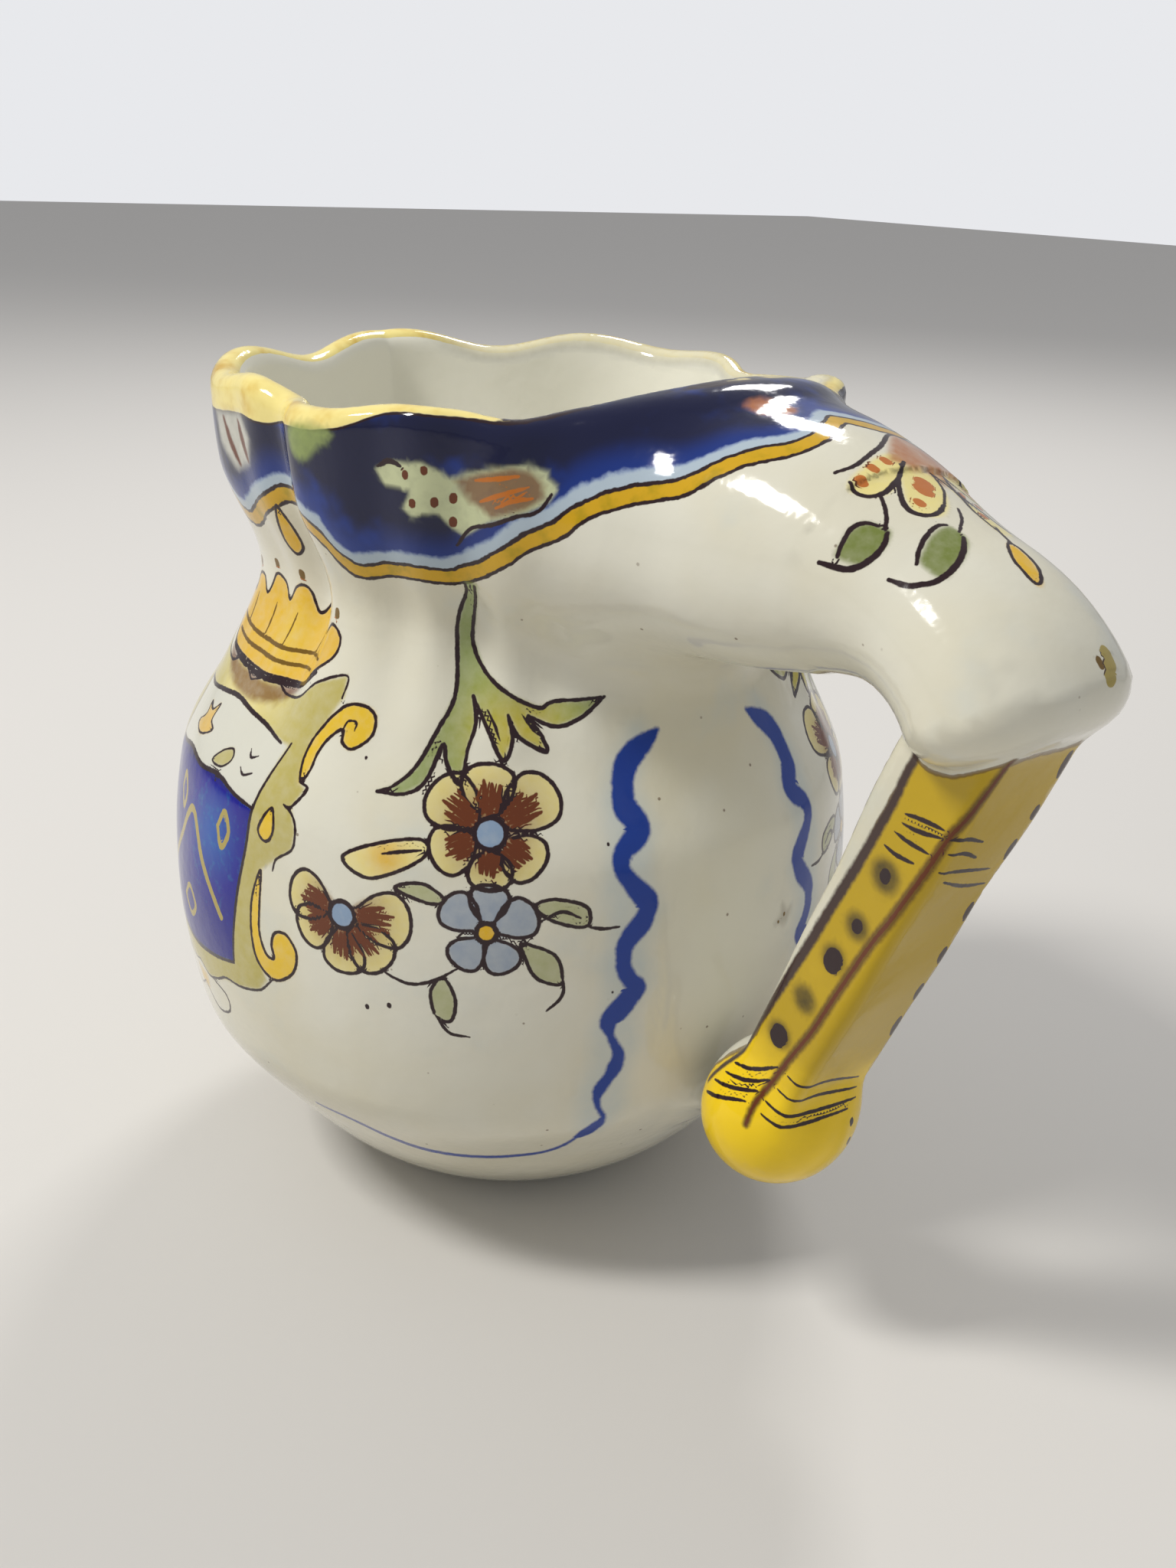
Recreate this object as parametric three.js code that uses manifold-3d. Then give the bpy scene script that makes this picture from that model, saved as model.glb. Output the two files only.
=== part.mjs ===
// A small jug of glazed earthenware in the shape of a gathered bag. A fat arm grows out of its rim
// as the handle, and a pipe hangs from the arm's end down to a bell that is stuck to the belly.
// Millimetres, +Z up. The origin is the centre of the flat underside, the arm points to +X.
import * as THREE from "three";
import { mergeVertices } from "three/addons/utils/BufferGeometryUtils.js";
import Module from "manifold-3d";

// Sizes of the bag
const RIM_HEIGHT = 102;
const RIM_RADIUS = 37.4;
const NECK_HEIGHT = 79;
const NECK_RADIUS = 32;
const BELLY_HEIGHT = 41;
const BELLY_RADIUS = 43;
const FOOT_RADIUS = 17.5;
const FRONT_BULGE = 2.4;
const WALL = 4;
const FLOOR = 5;

// The folds of the gathered neck, in degrees from the arm and millimetres
const CREASE_ANGLE = 86;
const CREASE_WIDTH = 7;
const CREASE_DEPTH = 4.2;
const LOBE_SPACING = 68;
const LOBE_DEPTH = 1.9;
const LOBE_LIFT = 0.7;
const PUCKER_DEPTH = 0.55;
const RIM_LIFT = 1.8;
const RIM_WAVE = 0.7;
const LIP_ROUND = 1.7;

// Sizes of the arm, from its root inside the neck to the end that holds the pipe
const ARM_REACH = 46.5;
const ARM_DROP = 19;
const ARM_HEIGHT = 27;
const ARM_ROOT_WIDTH = 40;
const ARM_WAIST_WIDTH = 22;
const ARM_END_WIDTH = 23.5;
const ARM_END_HEIGHT = 17.6;
const ARM_END_ROUND = 3.4;
const ARM_HOLLOW_SHARE = 0.5;

// Sizes of the pipe and its bell
const PIPE_TOP_THICKNESS = 10.8;
const PIPE_FOOT_THICKNESS = 8.8;
const PIPE_WIDTH = 12;
const BELL_HEIGHT = 29;
const BELL_RADIUS = 9;
const BELL_FLATTENING = 0.92;
const BELL_GAP = 1.6;
const WEB_WIDTH = 9;
const WEB_THICKNESS = 7;

// Fineness of the facets
const BAG_SIDES = 68;
const ARM_SIDES = 28;
const PIPE_SIDES = 20;

const DEGREE = Math.PI / 180;

function bell(x, width) {
  return Math.exp(-((x / width) ** 2));
}

function smooth(edge0, edge1, x) {
  const t = Math.min(1, Math.max(0, (x - edge0) / (edge1 - edge0)));
  return t * t * (3 - 2 * t);
}

// Cubic through the stations with slopes that never overshoot, so that girth and neck stay as named.
function monotone(stations) {
  const n = stations.length;
  const slope = [];
  for (let i = 0; i < n - 1; i += 1) {
    slope.push((stations[i + 1][1] - stations[i][1]) / (stations[i + 1][0] - stations[i][0]));
  }
  const tangent = [slope[0]];
  for (let i = 1; i < n - 1; i += 1) {
    const turns = slope[i - 1] * slope[i] <= 0;
    tangent.push(turns ? 0 : (2 * slope[i - 1] * slope[i]) / (slope[i - 1] + slope[i]));
  }
  tangent.push(slope[n - 2]);
  return (x) => {
    let i = 0;
    while (i < n - 2 && x > stations[i + 1][0]) {
      i += 1;
    }
    const [x0, y0] = stations[i];
    const [x1, y1] = stations[i + 1];
    const h = x1 - x0;
    const t = (x - x0) / h;
    const a = (1 + 2 * t) * (1 - t) ** 2;
    const b = t * (1 - t) ** 2;
    const c = t * t * (3 - 2 * t);
    const d = t * t * (t - 1);
    return a * y0 + b * h * tangent[i] + c * y1 + d * h * tangent[i + 1];
  };
}

// Radius of the plain bag against height, before its folds.
const bagProfile = monotone([
  [0, FOOT_RADIUS],
  [BELLY_HEIGHT * 0.09, FOOT_RADIUS + (BELLY_RADIUS - FOOT_RADIUS) * 0.25],
  [BELLY_HEIGHT * 0.32, FOOT_RADIUS + (BELLY_RADIUS - FOOT_RADIUS) * 0.62],
  [BELLY_HEIGHT * 0.62, FOOT_RADIUS + (BELLY_RADIUS - FOOT_RADIUS) * 0.93],
  [BELLY_HEIGHT, BELLY_RADIUS],
  [BELLY_HEIGHT + (NECK_HEIGHT - BELLY_HEIGHT) * 0.38, BELLY_RADIUS * 0.972],
  [BELLY_HEIGHT + (NECK_HEIGHT - BELLY_HEIGHT) * 0.7, NECK_RADIUS + (BELLY_RADIUS - NECK_RADIUS) * 0.37],
  [NECK_HEIGHT, NECK_RADIUS],
  [NECK_HEIGHT + (RIM_HEIGHT - NECK_HEIGHT) * 0.55, NECK_RADIUS + (RIM_RADIUS - NECK_RADIUS) * 0.8],
  [RIM_HEIGHT + RIM_LIFT, RIM_RADIUS],
]);

// How far a place on the front lies out on a lobe: 0 in a fold and 1 on the lobe's middle.
function lobeSwell(side) {
  return 0.5 - 0.5 * Math.cos(((side - CREASE_ANGLE) / LOBE_SPACING) * 2 * Math.PI);
}

function frontShare(side) {
  return smooth(CREASE_ANGLE, CREASE_ANGLE + LOBE_SPACING * 0.25, side);
}

// Depth of the folds at an angle in degrees from the arm: one deep crease and soft puckers on each
// side, and the round lobes of the front.
function foldDepth(angle) {
  const side = Math.abs(angle);
  const crease = CREASE_DEPTH * bell(side - CREASE_ANGLE, CREASE_WIDTH);
  const pucker = PUCKER_DEPTH * Math.cos(side * 0.42) * bell(side - CREASE_ANGLE * 0.5, CREASE_ANGLE * 0.28);
  return crease + LOBE_DEPTH * 2 * (1 - lobeSwell(side)) * frontShare(side) + pucker;
}

// The folds are deepest at the neck and run out over the shoulder.
function foldStrength(z) {
  const span = RIM_HEIGHT - NECK_HEIGHT;
  const fromBelow = smooth(NECK_HEIGHT - span * 0.95, NECK_HEIGHT, z);
  const towardsRim = 1 - 0.25 * smooth(NECK_HEIGHT, RIM_HEIGHT, z);
  return fromBelow * towardsRim;
}

function outerRadius(angle, z) {
  const side = Math.abs(angle);
  const front = FRONT_BULGE * smooth(60, 180, side) * bell(z - BELLY_HEIGHT, BELLY_HEIGHT * 0.7);
  const root = ARM_HEIGHT * 0.28 * bell(side, 24) * bell(z - RIM_HEIGHT * 0.9, ARM_HEIGHT * 0.42);
  return bagProfile(z) + front + root - foldDepth(angle) * foldStrength(z);
}

// The rim swings up to the arm and waves a little over the lobes.
function rimHeight(angle) {
  const side = Math.abs(angle);
  const lift = RIM_LIFT * bell(side, 36);
  const wave = RIM_WAVE * Math.cos((side - 54) * DEGREE * 9) * smooth(12, 40, side);
  const dip = RIM_WAVE * 1.4 * bell(side - CREASE_ANGLE, CREASE_WIDTH);
  const lobe = LOBE_LIFT * lobeSwell(side) * frontShare(side);
  return RIM_HEIGHT + lift + wave + lobe - dip;
}

// One ring of the bag at a share of the rim's own height, drawn in by an inset.
function bagRing(share, inset, lift = 0) {
  const ring = [];
  for (let i = 0; i < BAG_SIDES; i += 1) {
    const angle = (i * 360) / BAG_SIDES - 180;
    const z = rimHeight(angle) * share + lift;
    const radius = outerRadius(angle, z) - inset;
    ring.push(new THREE.Vector3(radius * Math.cos(angle * DEGREE), radius * Math.sin(angle * DEGREE), z));
  }
  return ring;
}

// Closed surface over rings with equally many points, each end closed by a fan.
function loft(rings) {
  const sides = rings[0].length;
  const points = rings.flat();
  const first = points.length;
  for (const end of [rings[0], rings[rings.length - 1]]) {
    const centre = new THREE.Vector3();
    end.forEach((p) => centre.addScaledVector(p, 1 / sides));
    points.push(centre);
  }
  const faces = [];
  for (let k = 0; k < sides; k += 1) {
    const next = (k + 1) % sides;
    faces.push(first, next, k);
    const top = (rings.length - 1) * sides;
    faces.push(first + 1, top + k, top + next);
    for (let r = 0; r < rings.length - 1; r += 1) {
      const a = r * sides + k;
      const b = r * sides + next;
      faces.push(a, b, b + sides);
      faces.push(a, b + sides, a + sides);
    }
  }
  const geometry = new THREE.BufferGeometry();
  geometry.setAttribute("position", new THREE.Float32BufferAttribute(points.flatMap((p) => [p.x, p.y, p.z]), 3));
  geometry.setIndex(faces);
  return geometry;
}

function bagOutside() {
  const rings = [bagRing(0, 0)];
  const levels = 25;
  for (let i = 1; i <= levels; i += 1) {
    const share = (i / levels) ** 1.12 * (1 - LIP_ROUND / RIM_HEIGHT);
    rings.push(bagRing(share, 0));
  }
  for (const turn of [45, 90]) {
    const inset = LIP_ROUND * (1 - Math.cos(turn * DEGREE));
    rings.push(bagRing(1, inset, -LIP_ROUND * (1 - Math.sin(turn * DEGREE))));
  }
  rings.push(bagRing(1, WALL * 1.5));
  return loft(rings);
}

function bagInside() {
  const rings = [];
  const bottom = FLOOR / RIM_HEIGHT;
  for (const [inset, lift] of [[WALL * 2.6, 0], [WALL * 1.45, WALL * 0.3], [WALL, WALL]]) {
    rings.push(bagRing(bottom, inset, lift));
  }
  const levels = 13;
  const lowest = (FLOOR + WALL) / RIM_HEIGHT;
  for (let i = 1; i <= levels; i += 1) {
    const share = lowest + (1 - LIP_ROUND / RIM_HEIGHT - lowest) * (i / levels);
    rings.push(bagRing(share, WALL));
  }
  const turn = 55 * DEGREE;
  const lipInset = WALL - LIP_ROUND * (1 - Math.cos(turn));
  const lipDrop = LIP_ROUND * (1 - Math.sin(turn));
  rings.push(bagRing(1, lipInset, -lipDrop));
  rings.push(bagRing(1, lipInset - lipDrop, lipDrop));
  rings.push(bagRing(1, lipInset - lipDrop, WALL * 2));
  return loft(rings);
}

// Centre line of the arm in the plane y = 0. It leaves the neck, bends over and ends pointing down.
const armStart = new THREE.Vector3(NECK_RADIUS - WALL * 0.5, 0, RIM_HEIGHT + RIM_LIFT * 0.8 - ARM_HEIGHT * 0.5);
const armEnd = new THREE.Vector3(RIM_RADIUS + ARM_REACH - ARM_END_HEIGHT * 0.47, 0, RIM_HEIGHT - ARM_DROP);
const armLine = new THREE.CubicBezierCurve3(
  armStart,
  new THREE.Vector3(armStart.x + ARM_REACH * 0.42, 0, armStart.z + ARM_HEIGHT * 0.16),
  new THREE.Vector3(armEnd.x - ARM_REACH * 0.11, 0, armEnd.z + ARM_DROP * 0.43),
  armEnd,
);

// One oval ring across a line in the plane y = 0. A higher power makes the oval squarer.
function ovalRing(centre, direction, height, width, power, sides) {
  const up = new THREE.Vector3(-direction.z, 0, direction.x);
  const ring = [];
  for (let i = 0; i < sides; i += 1) {
    const turn = (i / sides) * 2 * Math.PI;
    const c = Math.cos(turn);
    const s = Math.sin(turn);
    const across = Math.sign(c) * Math.abs(c) ** (2 / power) * 0.5 * width;
    const over = Math.sign(s) * Math.abs(s) ** (2 / power) * 0.5 * height;
    ring.push(new THREE.Vector3(0, across, 0).addScaledVector(up, over).add(centre));
  }
  return ring;
}

const armHeight = monotone([
  [0, ARM_HEIGHT],
  [0.25, ARM_HEIGHT * 0.97],
  [0.7, ARM_END_HEIGHT * 0.97],
  [1, ARM_END_HEIGHT],
]);
const armWidth = monotone([
  [0, ARM_ROOT_WIDTH],
  [0.25, ARM_ROOT_WIDTH * 0.55 + ARM_WAIST_WIDTH * 0.45],
  [0.72, ARM_WAIST_WIDTH],
  [1, ARM_END_WIDTH],
]);

function armRing(t, inset, scale = 1, push = 0) {
  const direction = armLine.getTangent(t);
  const centre = armLine.getPoint(t).addScaledVector(direction, push);
  const height = armHeight(t);
  const width = armWidth(t);
  return ovalRing(centre, direction, (height - 2 * inset) * scale, (width - 2 * inset) * scale, 2.2, ARM_SIDES);
}

function armOutside() {
  const rings = [];
  const steps = 12;
  for (let i = 0; i <= steps; i += 1) {
    rings.push(armRing(i / steps, 0));
  }
  for (const turn of [30, 60, 90]) {
    const shrink = 1 - (1 - Math.cos(turn * DEGREE)) * 0.2;
    rings.push(armRing(1, 0, shrink, ARM_END_ROUND * Math.sin(turn * DEGREE)));
  }
  return loft(rings);
}

// The neck's hollow runs on a little way into the arm.
function armInside() {
  const rings = [];
  const steps = 5;
  for (let i = 0; i <= steps; i += 1) {
    rings.push(armRing((ARM_HOLLOW_SHARE * i) / steps, WALL));
  }
  rings.push(armRing(ARM_HOLLOW_SHARE, WALL, 0.8, WALL));
  rings.push(armRing(ARM_HOLLOW_SHARE, WALL, 0.4, WALL * 1.5));
  return loft(rings);
}

// The bell hangs beside the belly, so its place follows the belly's own radius.
const bellCentre = new THREE.Vector3(outerRadius(0, BELL_HEIGHT) + BELL_GAP + BELL_RADIUS, 0, BELL_HEIGHT);
const pipeTop = armEnd.clone().add(new THREE.Vector3(-ARM_END_HEIGHT * 0.06, 0, 0));

function pipe() {
  const direction = bellCentre.clone().sub(pipeTop).normalize();
  const length = bellCentre.distanceTo(pipeTop);
  const flareStart = 1 - (BELL_RADIUS * 0.86) / length;
  const rings = [];
  const along = (share, height, width, power) => {
    const centre = pipeTop.clone().addScaledVector(direction, share * length);
    rings.push(ovalRing(centre, direction, height, width, power, PIPE_SIDES));
  };
  const steps = 8;
  for (let i = 0; i <= steps; i += 1) {
    const share = (flareStart * i) / steps;
    const thickness = PIPE_TOP_THICKNESS + (PIPE_FOOT_THICKNESS - PIPE_TOP_THICKNESS) * share;
    along(share, thickness, PIPE_WIDTH, 7);
  }
  for (const turn of [-52, -36, -18, 0, 18, 36, 54, 70]) {
    const girth = 2 * BELL_RADIUS * Math.cos(turn * DEGREE);
    const share = 1 + (BELL_RADIUS * Math.sin(turn * DEGREE)) / length;
    along(share, girth * BELL_FLATTENING, girth, 2.3);
  }
  return loft(rings);
}

// A web of clay between the belly and the bell.
function web() {
  const rootHeight = BELL_HEIGHT - BELL_RADIUS * 0.62;
  const inner = new THREE.Vector3(outerRadius(0, rootHeight) - WALL * 0.75, 0, rootHeight);
  const outer = new THREE.Vector3(bellCentre.x - BELL_RADIUS * 0.4, 0, BELL_HEIGHT - BELL_RADIUS * 0.25);
  const direction = outer.clone().sub(inner).normalize();
  const rings = [];
  const steps = 4;
  for (let i = 0; i <= steps; i += 1) {
    const share = i / steps;
    const waist = 1 - 0.5 * Math.sin(share * Math.PI);
    const centre = inner.clone().lerp(outer, share);
    rings.push(ovalRing(centre, direction, WEB_THICKNESS * waist, WEB_WIDTH * (0.5 + 0.5 * waist), 2, PIPE_SIDES));
  }
  return loft(rings);
}

const wasm = await Module();
wasm.setup();

function solid(geometry) {
  const merged = mergeVertices(geometry, 1e-4);
  return new wasm.Manifold(new wasm.Mesh({
    numProp: 3,
    vertProperties: new Float32Array(merged.attributes.position.array),
    triVerts: new Uint32Array(merged.index.array),
  }));
}

function geometryOf(manifold) {
  const mesh = manifold.getMesh();
  const geometry = new THREE.BufferGeometry();
  geometry.setAttribute("position", new THREE.BufferAttribute(new Float32Array(mesh.vertProperties), 3));
  geometry.setIndex(new THREE.BufferAttribute(new Uint32Array(mesh.triVerts), 1));
  geometry.computeVertexNormals();
  return geometry;
}

function jug() {
  const clay = solid(bagOutside()).add(solid(armOutside())).add(solid(pipe())).add(solid(web()));
  const hollow = solid(bagInside()).add(solid(armInside()));
  const glaze = new THREE.MeshStandardMaterial({ color: 0xe9e4d6, roughness: 0.16, metalness: 0 });
  const mesh = new THREE.Mesh(geometryOf(clay.subtract(hollow)), glaze);
  mesh.name = "jug";
  return mesh;
}

const part = new THREE.Group();
part.add(jug());

export default part;
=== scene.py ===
"""Looks of a small glazed earthenware jug in the shape of a gathered bag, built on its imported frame.

Forms are worked out in millimetres in the frame of the part: +Z is up, the arm points to +X.
"""

import logging
import math
from abc import ABC, abstractmethod
from collections.abc import Callable
from dataclasses import dataclass, field
from enum import Enum

import bpy
import numpy as np
from mathutils import Matrix, Vector
from mathutils.kdtree import KDTree

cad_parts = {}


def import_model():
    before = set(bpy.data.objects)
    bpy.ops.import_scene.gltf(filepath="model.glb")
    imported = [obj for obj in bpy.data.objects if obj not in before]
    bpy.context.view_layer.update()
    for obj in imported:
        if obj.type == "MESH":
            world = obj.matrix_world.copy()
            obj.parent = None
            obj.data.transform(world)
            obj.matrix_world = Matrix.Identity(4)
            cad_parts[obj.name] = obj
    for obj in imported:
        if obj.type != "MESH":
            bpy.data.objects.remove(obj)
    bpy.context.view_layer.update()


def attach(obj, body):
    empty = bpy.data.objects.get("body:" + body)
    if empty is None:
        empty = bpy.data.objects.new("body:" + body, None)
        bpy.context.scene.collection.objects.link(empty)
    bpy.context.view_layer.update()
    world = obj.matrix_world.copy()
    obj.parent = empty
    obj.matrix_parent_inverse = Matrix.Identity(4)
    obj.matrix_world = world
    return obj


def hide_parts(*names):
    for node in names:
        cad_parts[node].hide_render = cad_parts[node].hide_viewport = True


LOG = logging.getLogger("jug")
METRES = 0.001
PHOTO_SIZE = (1536, 2048)

Array = np.ndarray
Place = tuple[float, float]
Rows = tuple[Place, ...]
Colour = tuple[float, float, float]
Step = tuple[float, float, float]
Socket = bpy.types.NodeSocket


# Plain functions of numbers


def bell(x: Array, width: float) -> Array:
    """Smooth hump of height 1 at 0."""
    return np.exp(-((x / width) ** 2))


def smooth(edge0: float, edge1: float, x: Array) -> Array:
    """Smooth step from 0 to 1."""
    t = np.clip((x - edge0) / (edge1 - edge0), 0.0, 1.0)
    return t * t * (3.0 - 2.0 * t)


def soft_max(a: Array, b: Array, reach: float) -> Array:
    """Larger of two distances, rounded where they are about equal."""
    h = np.clip(0.5 + 0.5 * (a - b) / reach, 0.0, 1.0)
    return b + (a - b) * h + reach * h * (1.0 - h)


def soft_min(a: Array, b: Array, reach: float) -> Array:
    """Smaller of two distances, filleted where they are about equal."""
    return -soft_max(-a, -b, reach)


def monotone_table(stations: list[Place], count: int = 400) -> tuple[Array, Array]:
    """Cubic through stations that never overshoots, as a fine table.

    Args:
        stations: Pairs of position and value, rising in position.
        count: Number of rows of the table.

    Returns:
        Positions and values.
    """
    xs, ys = (np.array(column, float) for column in zip(*stations))
    slope = np.diff(ys) / np.diff(xs)
    tangent = np.concatenate([slope[:1], np.zeros(len(xs) - 2), slope[-1:]])
    before, after = slope[:-1], slope[1:]
    same = before * after > 0
    tangent[1:-1][same] = 2.0 * before[same] * after[same] / (before[same] + after[same])
    x = np.linspace(xs[0], xs[-1], count)
    i = np.clip(np.searchsorted(xs, x, side="right") - 1, 0, len(xs) - 2)
    h = xs[i + 1] - xs[i]
    t = (x - xs[i]) / h
    value = (1 + 2 * t) * (1 - t) ** 2 * ys[i] + t * (1 - t) ** 2 * h * tangent[i]
    value += t * t * (3 - 2 * t) * ys[i + 1] + t * t * (t - 1) * h * tangent[i + 1]
    return x, value


def curve_through(points: Array, step: float) -> Array:
    """Smooth curve through points, sampled evenly enough for painting.

    Args:
        points: Control points, one row each, in any number of dimensions.
        step: Largest distance between two samples.

    Returns:
        Samples along the curve, first and last point included.
    """
    p = np.asarray(points, float)
    if len(p) == 2:
        count = max(2, int(np.linalg.norm(p[1] - p[0]) / step) + 1)
        return p[0] + (p[1] - p[0]) * np.linspace(0, 1, count)[:, None]
    ends = np.vstack([2 * p[0] - p[1], p, 2 * p[-1] - p[-2]])
    parts = []
    for a, b, c, d in zip(ends[:-3], ends[1:-2], ends[2:-1], ends[3:]):
        count = max(2, int(np.linalg.norm(c - b) / step) + 2)
        t = np.linspace(0, 1, count, endpoint=False)[:, None]
        part = (2 * b) + (c - a) * t + (2 * a - 5 * b + 4 * c - d) * t**2 + (3 * b - a - 3 * c + d) * t**3
        parts.append(0.5 * part)
    return np.vstack([*parts, p[-1:]])


def polar(p: Array) -> tuple[Array, Array]:
    """Degrees from the arm, and distance from the jug's axis."""
    return np.degrees(np.arctan2(p[:, 1], p[:, 0])), np.hypot(p[:, 0], p[:, 1])


def run_between(start: Place, end: Place) -> tuple[Array, float]:
    """Unit direction and length of the way from one place to another.

    Args:
        start: First place.
        end: Last place.

    Returns:
        The direction and the length.
    """
    way = np.array(end) - np.array(start)
    length = float(np.linalg.norm(way))
    return way / length, length


def beside(p: Array, start: Place, direction: Array) -> tuple[Array, Array]:
    """Place of points against a straight line in the plane of the arm."""
    away = p[:, [0, 2]] - np.array(start)
    return away @ direction, away[:, 0] * -direction[1] + away[:, 1] * direction[0]


def circle(radius: float, count: int) -> Array:
    """Places round a circle, the first one again at the end."""
    turn = np.linspace(0, 2 * math.pi, count)
    return np.stack([np.cos(turn), np.sin(turn)], -1) * radius


def gradient_of(values: Callable[[Array], Array], p: Array, step: float) -> Array:
    """Direction in which a field grows fastest."""
    columns = [(values(p + shift) - values(p - shift)) / (2 * step) for shift in step * np.eye(3)]
    return np.stack(columns, -1)


# Forms as distances


# Guards of the Newton steps, and a distance deep inside a form.
LEAST_SLOPE = 0.05
LONGEST_MOVE = 1.5
DEEP = -50.0


class Form(ABC):
    """A body given by its signed distance, negative inside."""

    @abstractmethod
    def distance(self, p: Array) -> Array:
        """Signed distance."""

    def gradient(self, p: Array, step: float = 0.06) -> Array:
        """Direction in which the distance grows fastest."""
        return gradient_of(self.distance, p, step)

    def project(self, p: Array, rounds: int = 3) -> Array:
        """Nearby points on the surface.

        Args:
            p: Points close to the surface.
            rounds: Number of Newton steps.

        Returns:
            The points moved onto the surface.
        """
        for _ in range(rounds):
            g = self.gradient(p)
            size = np.maximum((g * g).sum(-1), LEAST_SLOPE)
            move = (self.distance(p) / size)[:, None] * g
            p = p - np.clip(move, -LONGEST_MOVE, LONGEST_MOVE)
        return p


@dataclass(frozen=True)
class BagForm:
    """The gathered bag: belly, neck, folds and waving rim."""

    rim_height: float = 102.0
    rim_radius: float = 37.4
    neck_height: float = 79.0
    neck_radius: float = 32.0
    belly_height: float = 41.0
    belly_radius: float = 43.0
    foot_radius: float = 17.5
    front_bulge: float = 2.4
    wall: float = 4.0
    floor: float = 5.0
    crease_angle: float = 86.0
    crease_width: float = 7.0
    crease_depth: float = 4.2
    lobe_spacing: float = 68.0
    lobe_depth: float = 1.9
    lobe_lift: float = 0.7
    pucker_depth: float = 0.55
    pucker_pitch: float = 0.42
    rim_lift: float = 1.8
    rim_lift_angle: float = 36.0
    rim_wave: float = 0.7
    rim_waves: int = 9
    rim_wave_start: float = 54.0
    front_start: float = 60.0
    root_swell: float = 7.56
    root_angle: float = 24.0
    root_height: float = 11.34

    def table(self) -> tuple[Array, Array]:
        """Radius of the plain bag against height.

        Returns:
            Heights and radii.
        """
        belly, foot, neck = self.belly_radius, self.foot_radius, self.neck_radius
        rise = self.neck_height - self.belly_height
        flare = self.rim_height - self.neck_height
        stations = [
            (0.0, foot),
            (self.belly_height * 0.09, foot + (belly - foot) * 0.25),
            (self.belly_height * 0.32, foot + (belly - foot) * 0.62),
            (self.belly_height * 0.62, foot + (belly - foot) * 0.93),
            (self.belly_height, belly),
            (self.belly_height + rise * 0.38, belly * 0.972),
            (self.belly_height + rise * 0.7, neck + (belly - neck) * 0.37),
            (self.neck_height, neck),
            (self.neck_height + flare * 0.55, neck + (self.rim_radius - neck) * 0.8),
            (self.rim_height + self.rim_lift, self.rim_radius),
        ]
        return monotone_table(stations)

    def lobe(self, side: Array) -> tuple[Array, Array]:
        """Place on the lobes of the front."""
        swell = 0.5 - 0.5 * np.cos((side - self.crease_angle) / self.lobe_spacing * 2 * math.pi)
        return swell, smooth(self.crease_angle, self.crease_angle + self.lobe_spacing * 0.25, side)

    def folds(self, angle: Array, z: Array) -> Array:
        """Depth of the folds.

        Args:
            angle: Degrees from the arm.
            z: Height.

        Returns:
            Depth at each place.
        """
        side = np.abs(angle)
        crease = self.crease_depth * bell(side - self.crease_angle, self.crease_width)
        swell, front = self.lobe(side)
        lobes = 2 * self.lobe_depth * (1 - swell)
        pucker = self.pucker_depth * np.cos(side * self.pucker_pitch)
        pucker = pucker * bell(side - self.crease_angle * 0.5, self.crease_angle * 0.28)
        span = self.rim_height - self.neck_height
        strength = smooth(self.neck_height - span * 0.95, self.neck_height, z)
        strength = strength * (1 - 0.25 * smooth(self.neck_height, self.rim_height, z))
        return (crease + lobes * front + pucker) * strength

    def radius(self, angle: Array, z: Array) -> Array:
        """Outer radius.

        Args:
            angle: Degrees from the arm.
            z: Height.

        Returns:
            Radius at each place.
        """
        side = np.abs(angle)
        heights, radii = self.table()
        plain = np.interp(z, heights, radii)
        front = self.front_bulge * smooth(self.front_start, 180, side)
        front = front * bell(z - self.belly_height, self.belly_height * 0.7)
        root = self.root_swell * bell(side, self.root_angle)
        root = root * bell(z - self.rim_height * 0.9, self.root_height)
        return plain + front + root - self.folds(angle, z)

    def rim(self, angle: Array) -> Array:
        """Height of the rim.

        Args:
            angle: Degrees from the arm.

        Returns:
            Height at each angle.
        """
        side = np.abs(angle)
        turn = np.radians(side - self.rim_wave_start) * self.rim_waves
        wave = self.rim_wave * np.cos(turn) * smooth(12, 40, side)
        swell, front = self.lobe(side)
        dip = self.rim_wave * 1.4 * bell(side - self.crease_angle, self.crease_width)
        plain = self.rim_height + self.rim_lift * bell(side, self.rim_lift_angle)
        return plain + wave + self.lobe_lift * swell * front - dip

    def side(self, p: Array, inset: float) -> Array:
        """Distance from the bag's wall, without foot and rim.

        Args:
            p: Points, one row each.
            inset: How far the wall is drawn in.

        Returns:
            Signed distance.
        """
        heights, radii = self.table()
        slope = np.interp(p[:, 2], heights, np.gradient(radii, heights))
        angle, rho = polar(p)
        z = np.clip(p[:, 2], heights[0], heights[-1])
        return (rho - self.radius(angle, z) + inset) / np.sqrt(1 + slope**2)


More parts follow.
